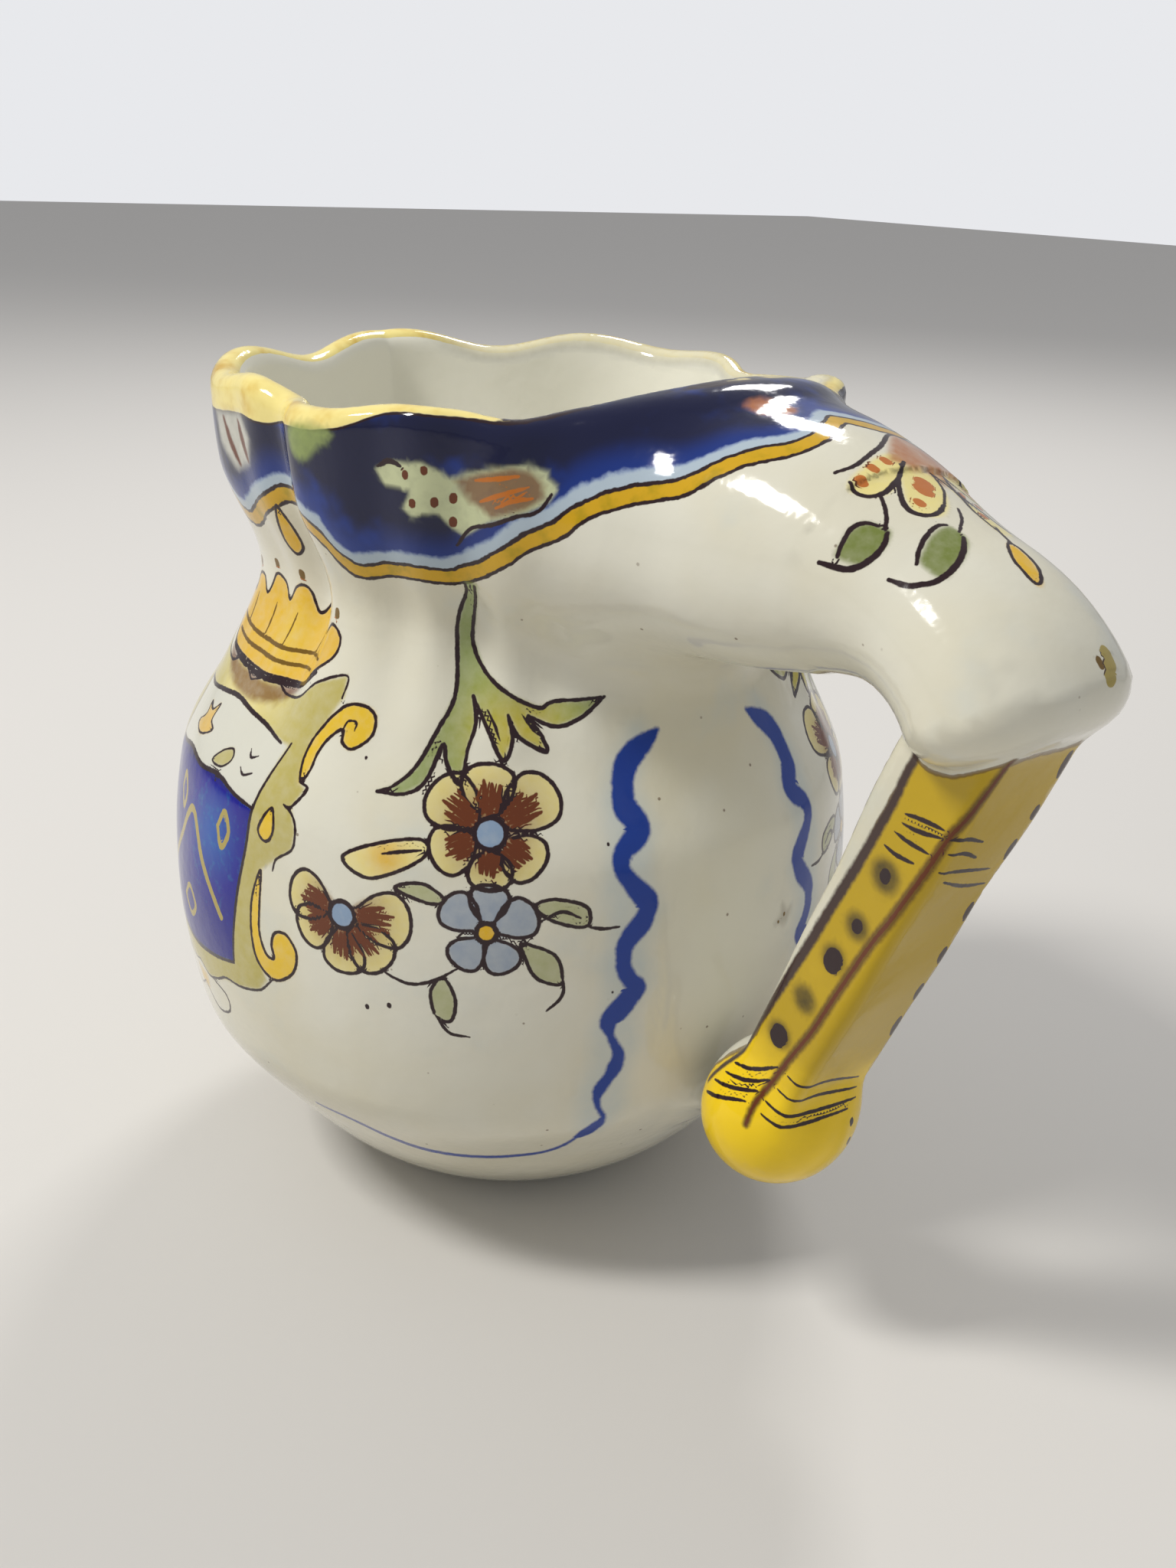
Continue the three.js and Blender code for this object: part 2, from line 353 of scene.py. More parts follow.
@dataclass(frozen=True)
class ArmForm:
    """The fat arm that leaves the neck, bends over and ends pointing down."""

    line: Rows = ((30.0, 89.94), (49.53, 94.26), (70.51, 91.17), (75.63, 83.0))
    heights: Rows = ((0, 27.0), (0.25, 26.19), (0.7, 17.07), (1, 17.6))
    widths: Rows = ((0, 40.0), (0.25, 31.9), (0.72, 22.0), (1, 23.5))
    power: float = 2.2
    end_round: float = 3.4
    end_blend: float = 6.5
    hollow_share: float = 0.5
    hollow_blend: float = 7.0
    overlap: float = 2.0

    def at(self, share: Array) -> tuple[Array, Array, Array]:
        """Centre line in the plane of the arm.

        Args:
            share: Shares along the line.

        Returns:
            Points and unit directions as rows of x and z, and lengths per unit of share.
        """
        t = share[:, None]
        a, b, c, d = (np.array(point) for point in self.line)
        points = (1 - t) ** 3 * a + 3 * (1 - t) ** 2 * t * b + 3 * (1 - t) * t * t * c + t**3 * d
        run = 3 * (1 - t) ** 2 * (b - a) + 6 * (1 - t) * t * (c - b) + 3 * t * t * (d - c)
        speed = np.linalg.norm(run, axis=1)
        return points, run / speed[:, None], speed

    def local(self, p: Array) -> tuple[Array, Array, Array]:
        """Place of points against the centre line.

        Args:
            p: Points, one row each.

        Returns:
            Share along the line, distance past the nearest sample and distance above the line.
        """
        samples = np.linspace(0, 1, 41)
        points, _, _ = self.at(samples)
        q = p[:, [0, 2]]
        square = (q * q).sum(1)[:, None] - 2 * q @ points.T + (points * points).sum(1)
        share = samples[square.argmin(1)]
        for _ in range(3):
            point, direction, speed = self.at(share)
            along = ((q - point) * direction).sum(1)
            share = np.clip(share + along / speed, 0.0, 1.0)
        point, direction, _ = self.at(share)
        away = q - point
        over = away[:, 1] * direction[:, 0] - away[:, 0] * direction[:, 1]
        ended = (share <= 0.0) | (share >= 1.0)
        return share, np.where(ended, (away * direction).sum(1), 0.0), over

    def lengths(self) -> tuple[Array, Array]:
        """Length of the centre line against the share along it.

        Returns:
            Shares and lengths.
        """
        shares = np.linspace(0, 1, 81)
        points, _, _ = self.at(shares)
        return shares, np.concatenate([[0.0], np.cumsum(np.linalg.norm(np.diff(points, axis=0), axis=1))])

    def tube(self, p: Array, inset: float) -> tuple[Array, Array, Array]:
        """Distance from the arm's side and its place along it.

        Args:
            p: Points, one row each.
            inset: How far the side is drawn in.

        Returns:
            Signed distance from the side, share along the line and distance past its ends.
        """
        share, past, over = self.local(p)
        t_height, height = monotone_table(list(self.heights))
        t_width, width = monotone_table(list(self.widths))
        half_height = np.interp(share, t_height, height) / 2 - inset
        half_width = np.interp(share, t_width, width) / 2 - inset
        v = np.abs(p[:, 1])
        ratio = (v / half_width) ** self.power + (np.abs(over) / half_height) ** self.power
        reach = np.maximum(np.hypot(v, over), 1e-6)
        return reach * (1 - 1 / np.maximum(ratio ** (1 / self.power), 1e-3)), share, past

    def outside(self, p: Array) -> Array:
        """Distance from the arm with its rounded end.

        Args:
            p: Points, one row each.

        Returns:
            Signed distance.
        """
        side, share, past = self.tube(p, 0.0)
        start = np.where(share < 0.5, -past - self.overlap, DEEP)
        end = np.where(share > 0.5, past - self.end_round - 0.5, DEEP)
        return soft_max(soft_max(side, end, self.end_blend), start, 1.0)

    def inside(self, p: Array, wall: float) -> Array:
        """Distance from the hollow that runs a little way into the arm.

        Args:
            p: Points, one row each.
            wall: Thickness of the arm's wall.

        Returns:
            Signed distance.
        """
        side, share, past = self.tube(p, wall)
        end = (share - self.hollow_share) * self.lengths()[1][-1] - wall
        start = np.where(share < 0.25, -past - self.overlap, DEEP)
        return soft_max(soft_max(side, end, self.hollow_blend), start, 1.0)


@dataclass(frozen=True)
class PipeForm:
    """The flat pipe that hangs from the arm, its bell, and the web of clay to the belly."""

    top: Place = (74.57, 83.0)
    bell_centre: Place = (52.63, 29.0)
    top_thickness: float = 10.8
    foot_thickness: float = 8.8
    width: float = 12.0
    edge_round: float = 1.5
    bell_radius: float = 9.0
    bell_flattening: float = 0.92
    bell_cut: float = 8.46
    bell_edge: float = 1.5
    bell_fillet: float = 2.2
    overlap: float = 4.0
    web_root: Place = (37.0, 23.42)
    web_tip: Place = (49.03, 26.75)
    web_width: float = 9.0
    web_thickness: float = 7.0

    def axis(self) -> tuple[Array, Array, float]:
        """Line of the pipe from top to bell."""
        return np.array(self.top), *run_between(self.top, self.bell_centre)

    def half_thickness(self, along: Array) -> Array:
        """Half of the pipe's thickness down its line."""
        share = np.clip(along / self.axis()[2], 0.0, 1.0)
        return (self.top_thickness + (self.foot_thickness - self.top_thickness) * share) / 2

    def local(self, p: Array) -> tuple[Array, Array]:
        """Place of points against the pipe's line."""
        top, direction, _ = self.axis()
        return beside(p, top, direction)

    def distance(self, p: Array) -> Array:
        """Signed distance from pipe and bell.

        Args:
            p: Points, one row each.

        Returns:
            Signed distance.
        """
        _, _, length = self.axis()
        along, out = self.local(p)
        v = np.abs(p[:, 1])
        beyond_wide = v - self.width / 2 + self.edge_round
        beyond_thick = np.abs(out) - self.half_thickness(along) + self.edge_round
        corner = np.hypot(np.maximum(beyond_wide, 0.0), np.maximum(beyond_thick, 0.0))
        side = corner + np.minimum(np.maximum(beyond_wide, beyond_thick), 0.0) - self.edge_round
        stick = np.maximum(np.maximum(side, along - length), -along - self.overlap)
        past = along - length
        ball = np.sqrt(past**2 + (out / self.bell_flattening) ** 2 + v**2) - self.bell_radius
        ball = soft_max(ball, past - self.bell_cut, self.bell_edge)
        return soft_min(stick, ball, self.bell_fillet)

    def web(self, p: Array) -> Array:
        """Signed distance from the web of clay.

        Args:
            p: Points, one row each.

        Returns:
            Signed distance.
        """
        direction, length = run_between(self.web_root, self.web_tip)
        along, out = beside(p, self.web_root, direction)
        waist = 1 - 0.5 * np.sin(np.clip(along / length, 0, 1) * math.pi)
        half_thick = self.web_thickness / 2 * waist
        half_wide = self.web_width / 2 * (0.5 + 0.5 * waist)
        reach = np.maximum(np.hypot(p[:, 1], out), 1e-6)
        ratio = np.hypot(p[:, 1] / half_wide, out / half_thick)
        side = reach * (1 - 1 / np.maximum(ratio, 1e-3))
        return np.maximum(np.maximum(side, along - length), -along)


@dataclass(frozen=True)
class JugForm(Form):
    """The whole fired piece with its hollow."""

    bag: BagForm = field(default_factory=BagForm)
    arm: ArmForm = field(default_factory=ArmForm)
    pipe: PipeForm = field(default_factory=PipeForm)
    foot_round: float = 1.6
    lip_round: float = 2.4
    arm_fillet: float = 8.0
    pipe_fillet: float = 1.2
    web_fillet: float = 3.0
    floor_round: float = 9.0
    hollow_fillet: float = 4.0
    handle_start: float = 12.0
    dimple_depth: float = 0.16

    def outside(self, p: Array) -> Array:
        """Distance from the outer skin.

        Args:
            p: Points, one row each.

        Returns:
            Signed distance.
        """
        over_rim = p[:, 2] - self.bag.rim(polar(p)[0])
        body = soft_max(self.bag.side(p, 0.0), over_rim, self.lip_round)
        body = soft_max(body, -p[:, 2], self.foot_round)
        near = p[:, 0] > self.handle_start
        if near.any():
            q = p[near]
            part = soft_min(body[near], self.arm.outside(q), self.arm_fillet)
            part = soft_min(part, self.pipe.distance(q), self.pipe_fillet)
            body[near] = soft_min(part, self.pipe.web(q), self.web_fillet)
        return body + self.unevenness(p)

    def unevenness(self, p: Array) -> Array:
        """Low swells left by the hand, which make the reflections wander.

        Args:
            p: Points, one row each.

        Returns:
            Offset of the surface at each point.
        """
        x, y, z = p.T
        swell = np.sin(x * 0.17 + z * 0.09 + 1.3) * np.sin(y * 0.15 - z * 0.12 + 0.4)
        swell = swell + 0.6 * np.sin(x * 0.31 - y * 0.22 + 2.1) * np.sin(z * 0.27 + 0.8)
        return self.dimple_depth * swell * smooth(0.0, 9.0, z)

    def hollow(self, p: Array) -> Array:
        """Distance from the hollow.

        Args:
            p: Points, one row each.

        Returns:
            Signed distance.
        """
        room = soft_max(self.bag.side(p, self.bag.wall), self.bag.floor - p[:, 2], self.floor_round)
        near = p[:, 0] > self.handle_start
        if near.any():
            q = p[near]
            room[near] = soft_min(room[near], self.arm.inside(q, self.bag.wall), self.hollow_fillet)
        return room

    def distance(self, p: Array) -> Array:
        """Signed distance from the fired piece."""
        return soft_max(self.outside(p), -self.hollow(p), self.lip_round)


# Mesh from a form


@dataclass
class Skin:
    """Triangles on a form's surface, and their finer splitting where paint is drawn."""

    form: Form
    low: tuple[float, float, float]
    high: tuple[float, float, float]
    step: float = 1.6
    relax_rounds: int = 3
    agreement: float = 0.9
    vertices: Array = field(default_factory=lambda: np.zeros((0, 3)))
    triangles: Array = field(default_factory=lambda: np.zeros((0, 3), int))

    def build(self) -> None:
        """Fills the skin with triangles."""
        low, high = np.array(self.low), np.array(self.high)
        counts = np.ceil((high - low) / self.step).astype(int) + 1
        axes = [low[k] + self.step * np.arange(counts[k]) for k in range(3)]
        values = np.empty(counts)
        for i, x in enumerate(axes[0]):
            y, z = np.meshgrid(axes[1], axes[2], indexing="ij")
            p = np.stack([np.full(y.size, x), y.ravel(), z.ravel()], -1)
            values[i] = self.form.distance(p).reshape(y.shape)
        cells, quads = self.net(values)
        vertices = low + self.step * cells
        vertices = self.form.project(vertices)
        for _ in range(self.relax_rounds):
            vertices = self.form.project(self.relaxed(vertices, quads), 1)
        self.vertices = self.form.project(vertices, 2)
        self.triangles = self.cut_quads(self.vertices, quads)

    @staticmethod
    def net(values: Array) -> tuple[Array, Array]:
        """Surface net of a grid of distances.

        Args:
            values: Distances on the grid.

        Returns:
            Vertices in grid units and four-sided faces.
        """
        inside = values < 0
        shape = tuple(n - 1 for n in values.shape)
        size = int(np.prod(shape))
        total, count = np.zeros((size, 3)), np.zeros(size)
        crossings = []
        for axis in range(3):
            lower = [slice(None)] * 3
            upper = [slice(None)] * 3
            lower[axis], upper[axis] = slice(None, -1), slice(1, None)
            a, b = values[tuple(lower)], values[tuple(upper)]
            start = np.argwhere(inside[tuple(lower)] != inside[tuple(upper)])
            va, vb = a[tuple(start.T)], b[tuple(start.T)]
            point = start.astype(float)
            point[:, axis] += va / (va - vb)
            others = [(axis + 1) % 3, (axis + 2) % 3]
            around = []
            for shift in ((1, 1), (0, 1), (0, 0), (1, 0)):
                cell = start.copy()
                cell[:, others[0]] -= shift[0]
                cell[:, others[1]] -= shift[1]
                index = np.ravel_multi_index(tuple(cell.T), shape)
                np.add.at(total, index, point)
                np.add.at(count, index, 1.0)
                around.append(index)
            faces = np.stack(around, -1)
            outward = va < 0
            faces = np.where(outward[:, None], faces, faces[:, ::-1])
            crossings.append(faces)
        used = np.flatnonzero(count)
        number = np.full(size, -1)
        number[used] = np.arange(len(used))
        return total[used] / count[used][:, None], number[np.vstack(crossings)]

    @staticmethod
    def relaxed(vertices: Array, quads: Array) -> Array:
        """Vertices moved half way to the middle of their neighbours.

        Args:
            vertices: Vertices, one row each.
            quads: Four-sided faces.

        Returns:
            Moved vertices.
        """
        total, count = np.zeros_like(vertices), np.zeros(len(vertices))
        for k in range(4):
            a, b = quads[:, k], quads[:, (k + 1) % 4]
            np.add.at(total, a, vertices[b])
            np.add.at(total, b, vertices[a])
            np.add.at(count, a, 1.0)
            np.add.at(count, b, 1.0)
        return 0.5 * vertices + 0.5 * total / count[:, None]

    @staticmethod
    def cut_quads(vertices: Array, quads: Array) -> Array:
        """Triangles from four-sided faces, cut along the shorter diagonal.

        Args:
            vertices: Vertices, one row each.
            quads: Four-sided faces.

        Returns:
            Triangles.
        """
        a, b, c, d = (vertices[quads[:, k]] for k in range(4))
        first = np.linalg.norm(a - c, axis=1) <= np.linalg.norm(b - d, axis=1)
        one = np.where(first[:, None], quads[:, [0, 1, 2]], quads[:, [0, 1, 3]])
        two = np.where(first[:, None], quads[:, [0, 2, 3]], quads[:, [1, 2, 3]])
        return np.vstack([one, two])

    def plain_normals(self) -> Array:
        """Normals of the triangles, averaged at the vertices.

        Returns:
            Unit normals.
        """
        a, b, c = (self.vertices[self.triangles[:, corner]] for corner in range(3))
        facing = np.cross(b - a, c - a)
        made = np.zeros_like(self.vertices)
        for corner in range(3):
            np.add.at(made, self.triangles[:, corner], facing)
        return made / np.maximum(np.linalg.norm(made, axis=1), 1e-12)[:, None]

    def smooth_normals(self) -> Array:
        """Normals of the form, or of the triangles where the two disagree.

        Returns:
            Unit normals.
        """
        normal = self.form.gradient(self.vertices)
        normal /= np.linalg.norm(normal, axis=1)[:, None]
        plain = self.plain_normals()
        return np.where(((normal * plain).sum(1) < self.agreement)[:, None], plain, normal)

    def split(self, wanted: Array) -> None:
        """Halves the marked edges and keeps the net of triangles closed.

        Args:
            wanted: Longest edge allowed around each vertex.
        """
        t = self.triangles
        edges = np.sort(np.vstack([t[:, [0, 1]], t[:, [1, 2]], t[:, [2, 0]]]), axis=1)
        pairs, back = np.unique(edges, axis=0, return_inverse=True)
        back = back.reshape(3, len(t)).T
        ends = self.vertices[pairs]
        length = np.linalg.norm(ends[:, 0] - ends[:, 1], axis=1)
        marked = length > np.minimum(wanted[pairs[:, 0]], wanted[pairs[:, 1]])
        middle = np.full(len(pairs), -1)
        middle[marked] = len(self.vertices) + np.arange(marked.sum())
        added = self.form.project(ends[marked].mean(1), 2)
        m = middle[back]
        kinds = (m >= 0).astype(int) @ np.array([1, 2, 4])
        made = [t[kinds == 0]]
        for kind, turn in ((1, 0), (2, 1), (4, 2), (3, 0), (6, 1), (5, 2), (7, 0)):
            rows = np.flatnonzero(kinds == kind)
            if not len(rows):
                continue
            order = [(turn + k) % 3 for k in range(3)]
            a, b, c = (t[rows][:, k] for k in order)
            ab, bc, ca = (m[rows][:, k] for k in order)
            if kind in (1, 2, 4):
                parts = [(a, ab, c), (ab, b, c)]
            elif kind in (3, 6, 5):
                parts = [(ab, b, bc), (a, ab, bc), (a, bc, c)]
            else:
                parts = [(a, ab, ca), (ab, b, bc), (ca, bc, c), (ab, bc, ca)]
            made.extend(np.stack(part, -1) for part in parts)
        self.vertices = np.vstack([self.vertices, added])
        self.triangles = np.vstack(made)


# Paint on the surface


class Tone(Enum):
    """Colours a brush line can have, as places on the tone scale."""

    INK = 0.0
    RUST = 1.0
    AMBER = 2.0
    OLIVE = 3.0
    SLATE = 4.0
    GOLD = 5.0
    COBALT = 6.0


@dataclass(frozen=True)
class Stroke:
    """One pull of the brush in a chart's own millimetres."""

    points: Array
    width: float
    tone: Tone = Tone.INK
    taper: float = 0.45
    broad: bool = False
    profile: tuple[float, ...] | None = None


@dataclass(frozen=True)
class Heart:
    """A spot of another colour that fades into a wash."""

    place: Place
    colour: Colour
    reach: float


@dataclass(frozen=True)
class Wash:
    """A filled patch of thin colour inside an outline."""

    outline: Array
    colour: Colour
    strength: float = 1.0
    edge: float = 0.35
    heart: Heart | None = None


class Chart(ABC):
    """A flat sheet of millimetres laid on one side of the jug."""

    @abstractmethod
    def lift(self, uv: Array) -> Array:
        """Points of the sheet in space."""

    @abstractmethod
    def flatten(self, p: Array) -> Array:
        """Places of points on the sheet, far away where the sheet doesn't reach."""


# Place on a sheet for points that it doesn't reach.
FAR = 1e3


@dataclass(frozen=True)
class BagChart(Chart):
    """Sheet on the bag round one centre, given as degrees from the near side towards the arm, and height.

    u runs towards the arm and v upwards.
    """

    centre: Place
    side: float = -1.0
    bag: BagForm = field(default_factory=BagForm)
    depth: float = 2.6
    half_turn: float = 75.0

    def rise(self) -> tuple[Array, Array]:
        """Length of the wall against height.

        Returns:
            Heights and lengths from the foot.
        """
        heights, radii = self.bag.table()
        steps = np.hypot(np.diff(heights), np.diff(radii))
        return heights, np.concatenate([[0.0], np.cumsum(steps)])

    def places(self, rows: Rows) -> Rows:
        """Chart places from angles and heights.

        Args:
            rows: Pairs of degrees round from the near side towards the arm, and height.

        Returns:
            Pairs of u and v.
        """
        heights, lengths = self.rise()
        middle = np.interp(self.centre[1], heights, lengths)
        made = []
        for angle, z in rows:
            rho = float(self.bag.radius(np.array(angle - 90.0), np.array(z)))
            v = float(np.interp(z, heights, lengths) - middle)
            made.append((math.radians(angle - self.centre[0]) * rho, v))
        return tuple(made)

    def lift(self, uv: Array) -> Array:
        """Points of the sheet in space.

        Args:
            uv: Rows of u and v.

        Returns:
            Points close to the surface.
        """
        heights, lengths = self.rise()
        z = np.interp(np.interp(self.centre[1], heights, lengths) + uv[:, 1], lengths, heights)
        turn = self.centre[0] - 90.0
        for _ in range(4):
            angle = self.centre[0] - 90.0 + np.degrees(uv[:, 0] / self.bag.radius(turn, z))
            turn = angle
        rho = self.bag.radius(turn, z)
        a = np.radians(turn)
        return np.stack([rho * np.cos(a), -self.side * rho * np.sin(a), z], -1)

    def flatten(self, p: Array) -> Array:
        """Places of points on the sheet.

        Args:
            p: Points on the surface.

        Returns:
            Rows of u and v.
        """
        heights, lengths = self.rise()
        angle, rho = polar(p * (1.0, -self.side, 1.0))
        angle = angle + 90.0
        turn = (angle - self.centre[0] + 180.0) % 360.0 - 180.0
        v = np.interp(p[:, 2], heights, lengths) - np.interp(self.centre[1], heights, lengths)
        true_rho = self.bag.radius(angle - 90.0, p[:, 2])
        off = (np.abs(rho - true_rho) > self.depth) | (np.abs(turn) > self.half_turn)
        uv = np.stack([np.radians(turn) * rho, v], -1)
        uv[off] = FAR
        return uv


@dataclass(frozen=True)
class ArmChart(Chart):
    """Sheet on the arm. u runs round from the top towards the near side and v along the arm."""

    side: float = -1.0
    arm: ArmForm = field(default_factory=ArmForm)
    scale: float = 11.0
    start: float = 30.0
    bottom: float = 78.0

    def lift(self, uv: Array) -> Array:
        """Points of the sheet in space.

        Args:
            uv: Rows of u and v.

        Returns:
            Points close to the surface.
        """
        shares, lengths = self.arm.lengths()
        c, d, _ = self.arm.at(np.interp(uv[:, 1], lengths, shares))
        turn = uv[:, 0] / self.scale
        over = self.scale * np.cos(turn)
        x = c[:, 0] - d[:, 1] * over
        z = c[:, 1] + d[:, 0] * over
        return np.stack([x, self.side * self.scale * np.sin(turn), z], -1)

    def flatten(self, p: Array) -> Array:
        """Places of points on the sheet.

        Args:
            p: Points on the surface.

        Returns:
            Rows of u and v.
        """
        share, past, over = self.arm.local(p)
        u = np.arctan2(self.side * p[:, 1], over) * self.scale
        v = np.interp(share, *self.arm.lengths()) + past
        uv = np.stack([u, v], -1)
        uv[(p[:, 0] < self.start) | (p[:, 2] < self.bottom)] = FAR
        return uv


@dataclass(frozen=True)
class PipeChart(Chart):
    """Sheet round the pipe. u runs round it from the middle of its outer face, v down from its top."""

    pipe: PipeForm = field(default_factory=PipeForm)
    beside: float = 4.0
    around: float = 6.0
    below: float = 12.0

    def lift(self, uv: Array) -> Array:
        """Points of the sheet in space.

        Args:
            uv: Rows of u and v.

        Returns:
            Points close to the surface.
        """
        half_wide, half_thick = self.pipe.width / 2, self.pipe.half_thickness(uv[:, 1])
        u = np.abs(uv[:, 0])
        on_face = u <= half_wide
        y = np.where(on_face, u, half_wide)
        out = np.where(on_face, half_thick, half_thick - (u - half_wide))
        beyond = np.maximum(u - half_wide - 2 * half_thick, 0.0)
        out = np.maximum(out, -half_thick)
        y = (y - beyond) * np.sign(uv[:, 0]) * -1.0
        top, direction, _ = self.pipe.axis()
        x = top[0] + direction[0] * uv[:, 1] - direction[1] * out
        z = top[1] + direction[1] * uv[:, 1] + direction[0] * out
        return np.stack([x, y, z], -1)

    def flatten(self, p: Array) -> Array:
        """Places of points on the sheet.

        Args:
            p: Points on the surface.

        Returns:
            Rows of u and v.
        """
        along, out = self.pipe.local(p)
        half_wide, half_thick = self.pipe.width / 2, self.pipe.half_thickness(along)
        length = self.pipe.axis()[2]
        v = np.abs(p[:, 1])
        on_face = (v / half_wide) < (out / half_thick)
        u = np.where(on_face, v, half_wide + half_thick - out)
        uv = np.stack([-np.sign(p[:, 1]) * u, along], -1)
        off = (v > half_wide + self.beside) | (np.abs(out) > half_thick + self.around)
        uv[off | (along > length + self.below) | (along < -self.beside)] = FAR
        return uv


class Motif(ABC):
    """Something painted on the jug."""

    chart: Chart

    @abstractmethod
    def strokes(self) -> list[Stroke]:
        """Brush lines of the motif."""

    def washes(self) -> list[Wash]:
        """Filled patches of the motif."""
        return []


# Colours of the washes, and the step of painted curves in millimetres.
OLIVE = (0.45, 0.38, 0.075)
YELLOW = (0.74, 0.44, 0.01)
PALE_YELLOW = (0.80, 0.69, 0.26)
SCROLL_YELLOW = (0.76, 0.50, 0.03)
RUST_WASH = (0.16, 0.04, 0.008)
FAN_RUST = (0.42, 0.14, 0.03)
GREY_BLUE = (0.30, 0.35, 0.42)
COBALT_WASH = (0.007, 0.028, 0.18)
COBALT_THIN = (0.030, 0.120, 0.33)
LEAF = (0.40, 0.41, 0.20)
ARM_LEAF = (0.17, 0.21, 0.045)
HEART_BLUE = (0.24, 0.33, 0.46)
BIRD_PALE = (0.55, 0.58, 0.34)
MOSS = (0.27, 0.34, 0.10)
HALO_BLUE = (0.36, 0.50, 0.60)
RUBBED_RIM = (0.78, 0.73, 0.52)
STALK_GREEN = (0.26, 0.32, 0.10)
STALK_TIP = (0.52, 0.43, 0.02)
WHITE = (0.66, 0.65, 0.56)
PAINT_STEP = 0.15
SPOT_BROWN = (0.075, 0.05, 0.004)
BARE_CLAY = (0.36, 0.33, 0.26)


def loop(points: Rows | Array) -> Array:
    """Closes an outline.

    Args:
        points: Outline points.

    Returns:
        Smooth closed outline.
    """
    p = np.array(points, float)
    wide = np.vstack([p[-1:], p, p[:2]])
    samples = curve_through(wide, 0.4)
    first = int(np.argmin(np.linalg.norm(samples - p[0], axis=1)[: len(samples) // 2]))
    last = int(len(samples) // 2 + np.argmin(np.linalg.norm(samples[len(samples) // 2 :] - p[0], axis=1)))
    return np.vstack([samples[first:last], samples[first : first + 1]])


@dataclass(frozen=True)
class Petal:
    """One petal of a flower, from the flower's middle out to a tip."""

    tip: Place
    width: float

    def outline(self, start: float) -> Array:
        """Outline of the petal.

        Args:
            start: Distance from the flower's middle at which the petal begins.

        Returns:
            Points round the petal.
        """
        d, length = run_between((0.0, 0.0), self.tip)
        n = np.array([-d[1], d[0]])
        wide = self.width * length * 0.5
        shape = [(start, -0.32), (0.5 * length, -0.86), (0.78 * length, -1.0), (0.95 * length, -0.6)]
        shape += [(length, 0.0)] + [(x, -y) for x, y in reversed(shape)]
        return np.array([d * x + n * y * wide for x, y in shape])


def petals(tips: Rows, width: float) -> tuple[Petal, ...]:
    """One petal for each tip."""
    return tuple(Petal(tip, width) for tip in tips)


@dataclass(frozen=True)
class Blossom(Motif):
    """A flower seen from above, with outlined petals, dark streaks and a round heart."""

    chart: Chart
    petals: tuple[Petal, ...]
    heart_radius: float
    petal_colour: Colour
    heart_colour: Colour
    streaks: int = 4
    line: float = 0.46

    def strokes(self) -> list[Stroke]:
        """Brush lines of the flower.

        Returns:
            Outlines, streaks and the ring round the heart.
        """
        made = []
        for petal in self.petals:
            made.append(brushed(petal.outline(self.heart_radius * 1.15), self.line, taper=0.15))
            made.extend(self.streak(petal, k) for k in range(self.streaks))
        made.append(Stroke(circle(self.heart_radius, 25), self.line * 1.25, taper=0.0))
        return made

    def streak(self, petal: Petal, number: int) -> Stroke:
        """One rust streak that runs out from the heart.

        Args:
            petal: The petal it lies on.
            number: Which streak of the petal it is.

        Returns:
            The stroke.
        """
        d, length = run_between((0.0, 0.0), petal.tip)
        n = np.array([-d[1], d[0]])
        share = (number + 0.5) / self.streaks * 2 - 1
        reach = length * (0.80 - 0.16 * abs(share) - 0.05 * (number % 2))
        start = d * self.heart_radius * 1.3 + n * share * self.heart_radius * 0.62
        end = d * reach + n * share * petal.width * length * 0.30
        return Stroke(np.array([start, (start + end) / 2, end]), 0.68, Tone.RUST, taper=0.5)

    def washes(self) -> list[Wash]:
        """Petals and heart.

        Returns:
            The washes.
        """
        heart = RUST_WASH if self.streaks else self.petal_colour
        made = []
        for petal in self.petals:
            outline = loop(petal.outline(self.heart_radius * 0.8))
            reach = 0.66 * run_between((0.0, 0.0), petal.tip)[1]
            made.append(Wash(outline, self.petal_colour, 0.9, heart=Heart((0.0, 0.0), heart, reach)))
        made.append(Wash(circle(self.heart_radius, 25), self.heart_colour, 1.0, edge=0.2))
        return made


@dataclass(frozen=True)
class Sprig(Motif):
    """Outlined leaves, each with its own tail, and bare stems."""

    chart: Chart
    leaves: tuple[Rows, ...] = ()
    stems: tuple[Rows, ...] = ()
    colour: Colour = LEAF
    shade: Colour = LEAF
    line: float = 0.44
    strength: float = 0.85

    def strokes(self) -> list[Stroke]:
        """Outlines of the leaves, and the stems."""
        made = [outlined(leaf, self.line) for leaf in self.leaves]
        return made + [brushed(stem, self.line, taper=0.5) for stem in self.stems]

    def washes(self) -> list[Wash]:
        """Fill of the leaves.

        Returns:
            The washes.
        """
        made = []
        for leaf in self.leaves:
            middle = tuple(np.array(leaf).mean(0))
            heart = Heart(middle, self.shade, 2.2)
            made.append(Wash(loop(leaf), self.colour, self.strength, heart=heart))
        return made


@dataclass(frozen=True)
class Drawing(Motif):
    """Strokes and washes given one by one."""

    chart: Chart
    lines: tuple[Stroke, ...] = ()
    fills: tuple[Wash, ...] = ()

    def strokes(self) -> list[Stroke]:
        """Brush lines of the drawing."""
        return list(self.lines)

    def washes(self) -> list[Wash]:
        """Filled patches of the drawing."""
        return list(self.fills)


# What is painted where

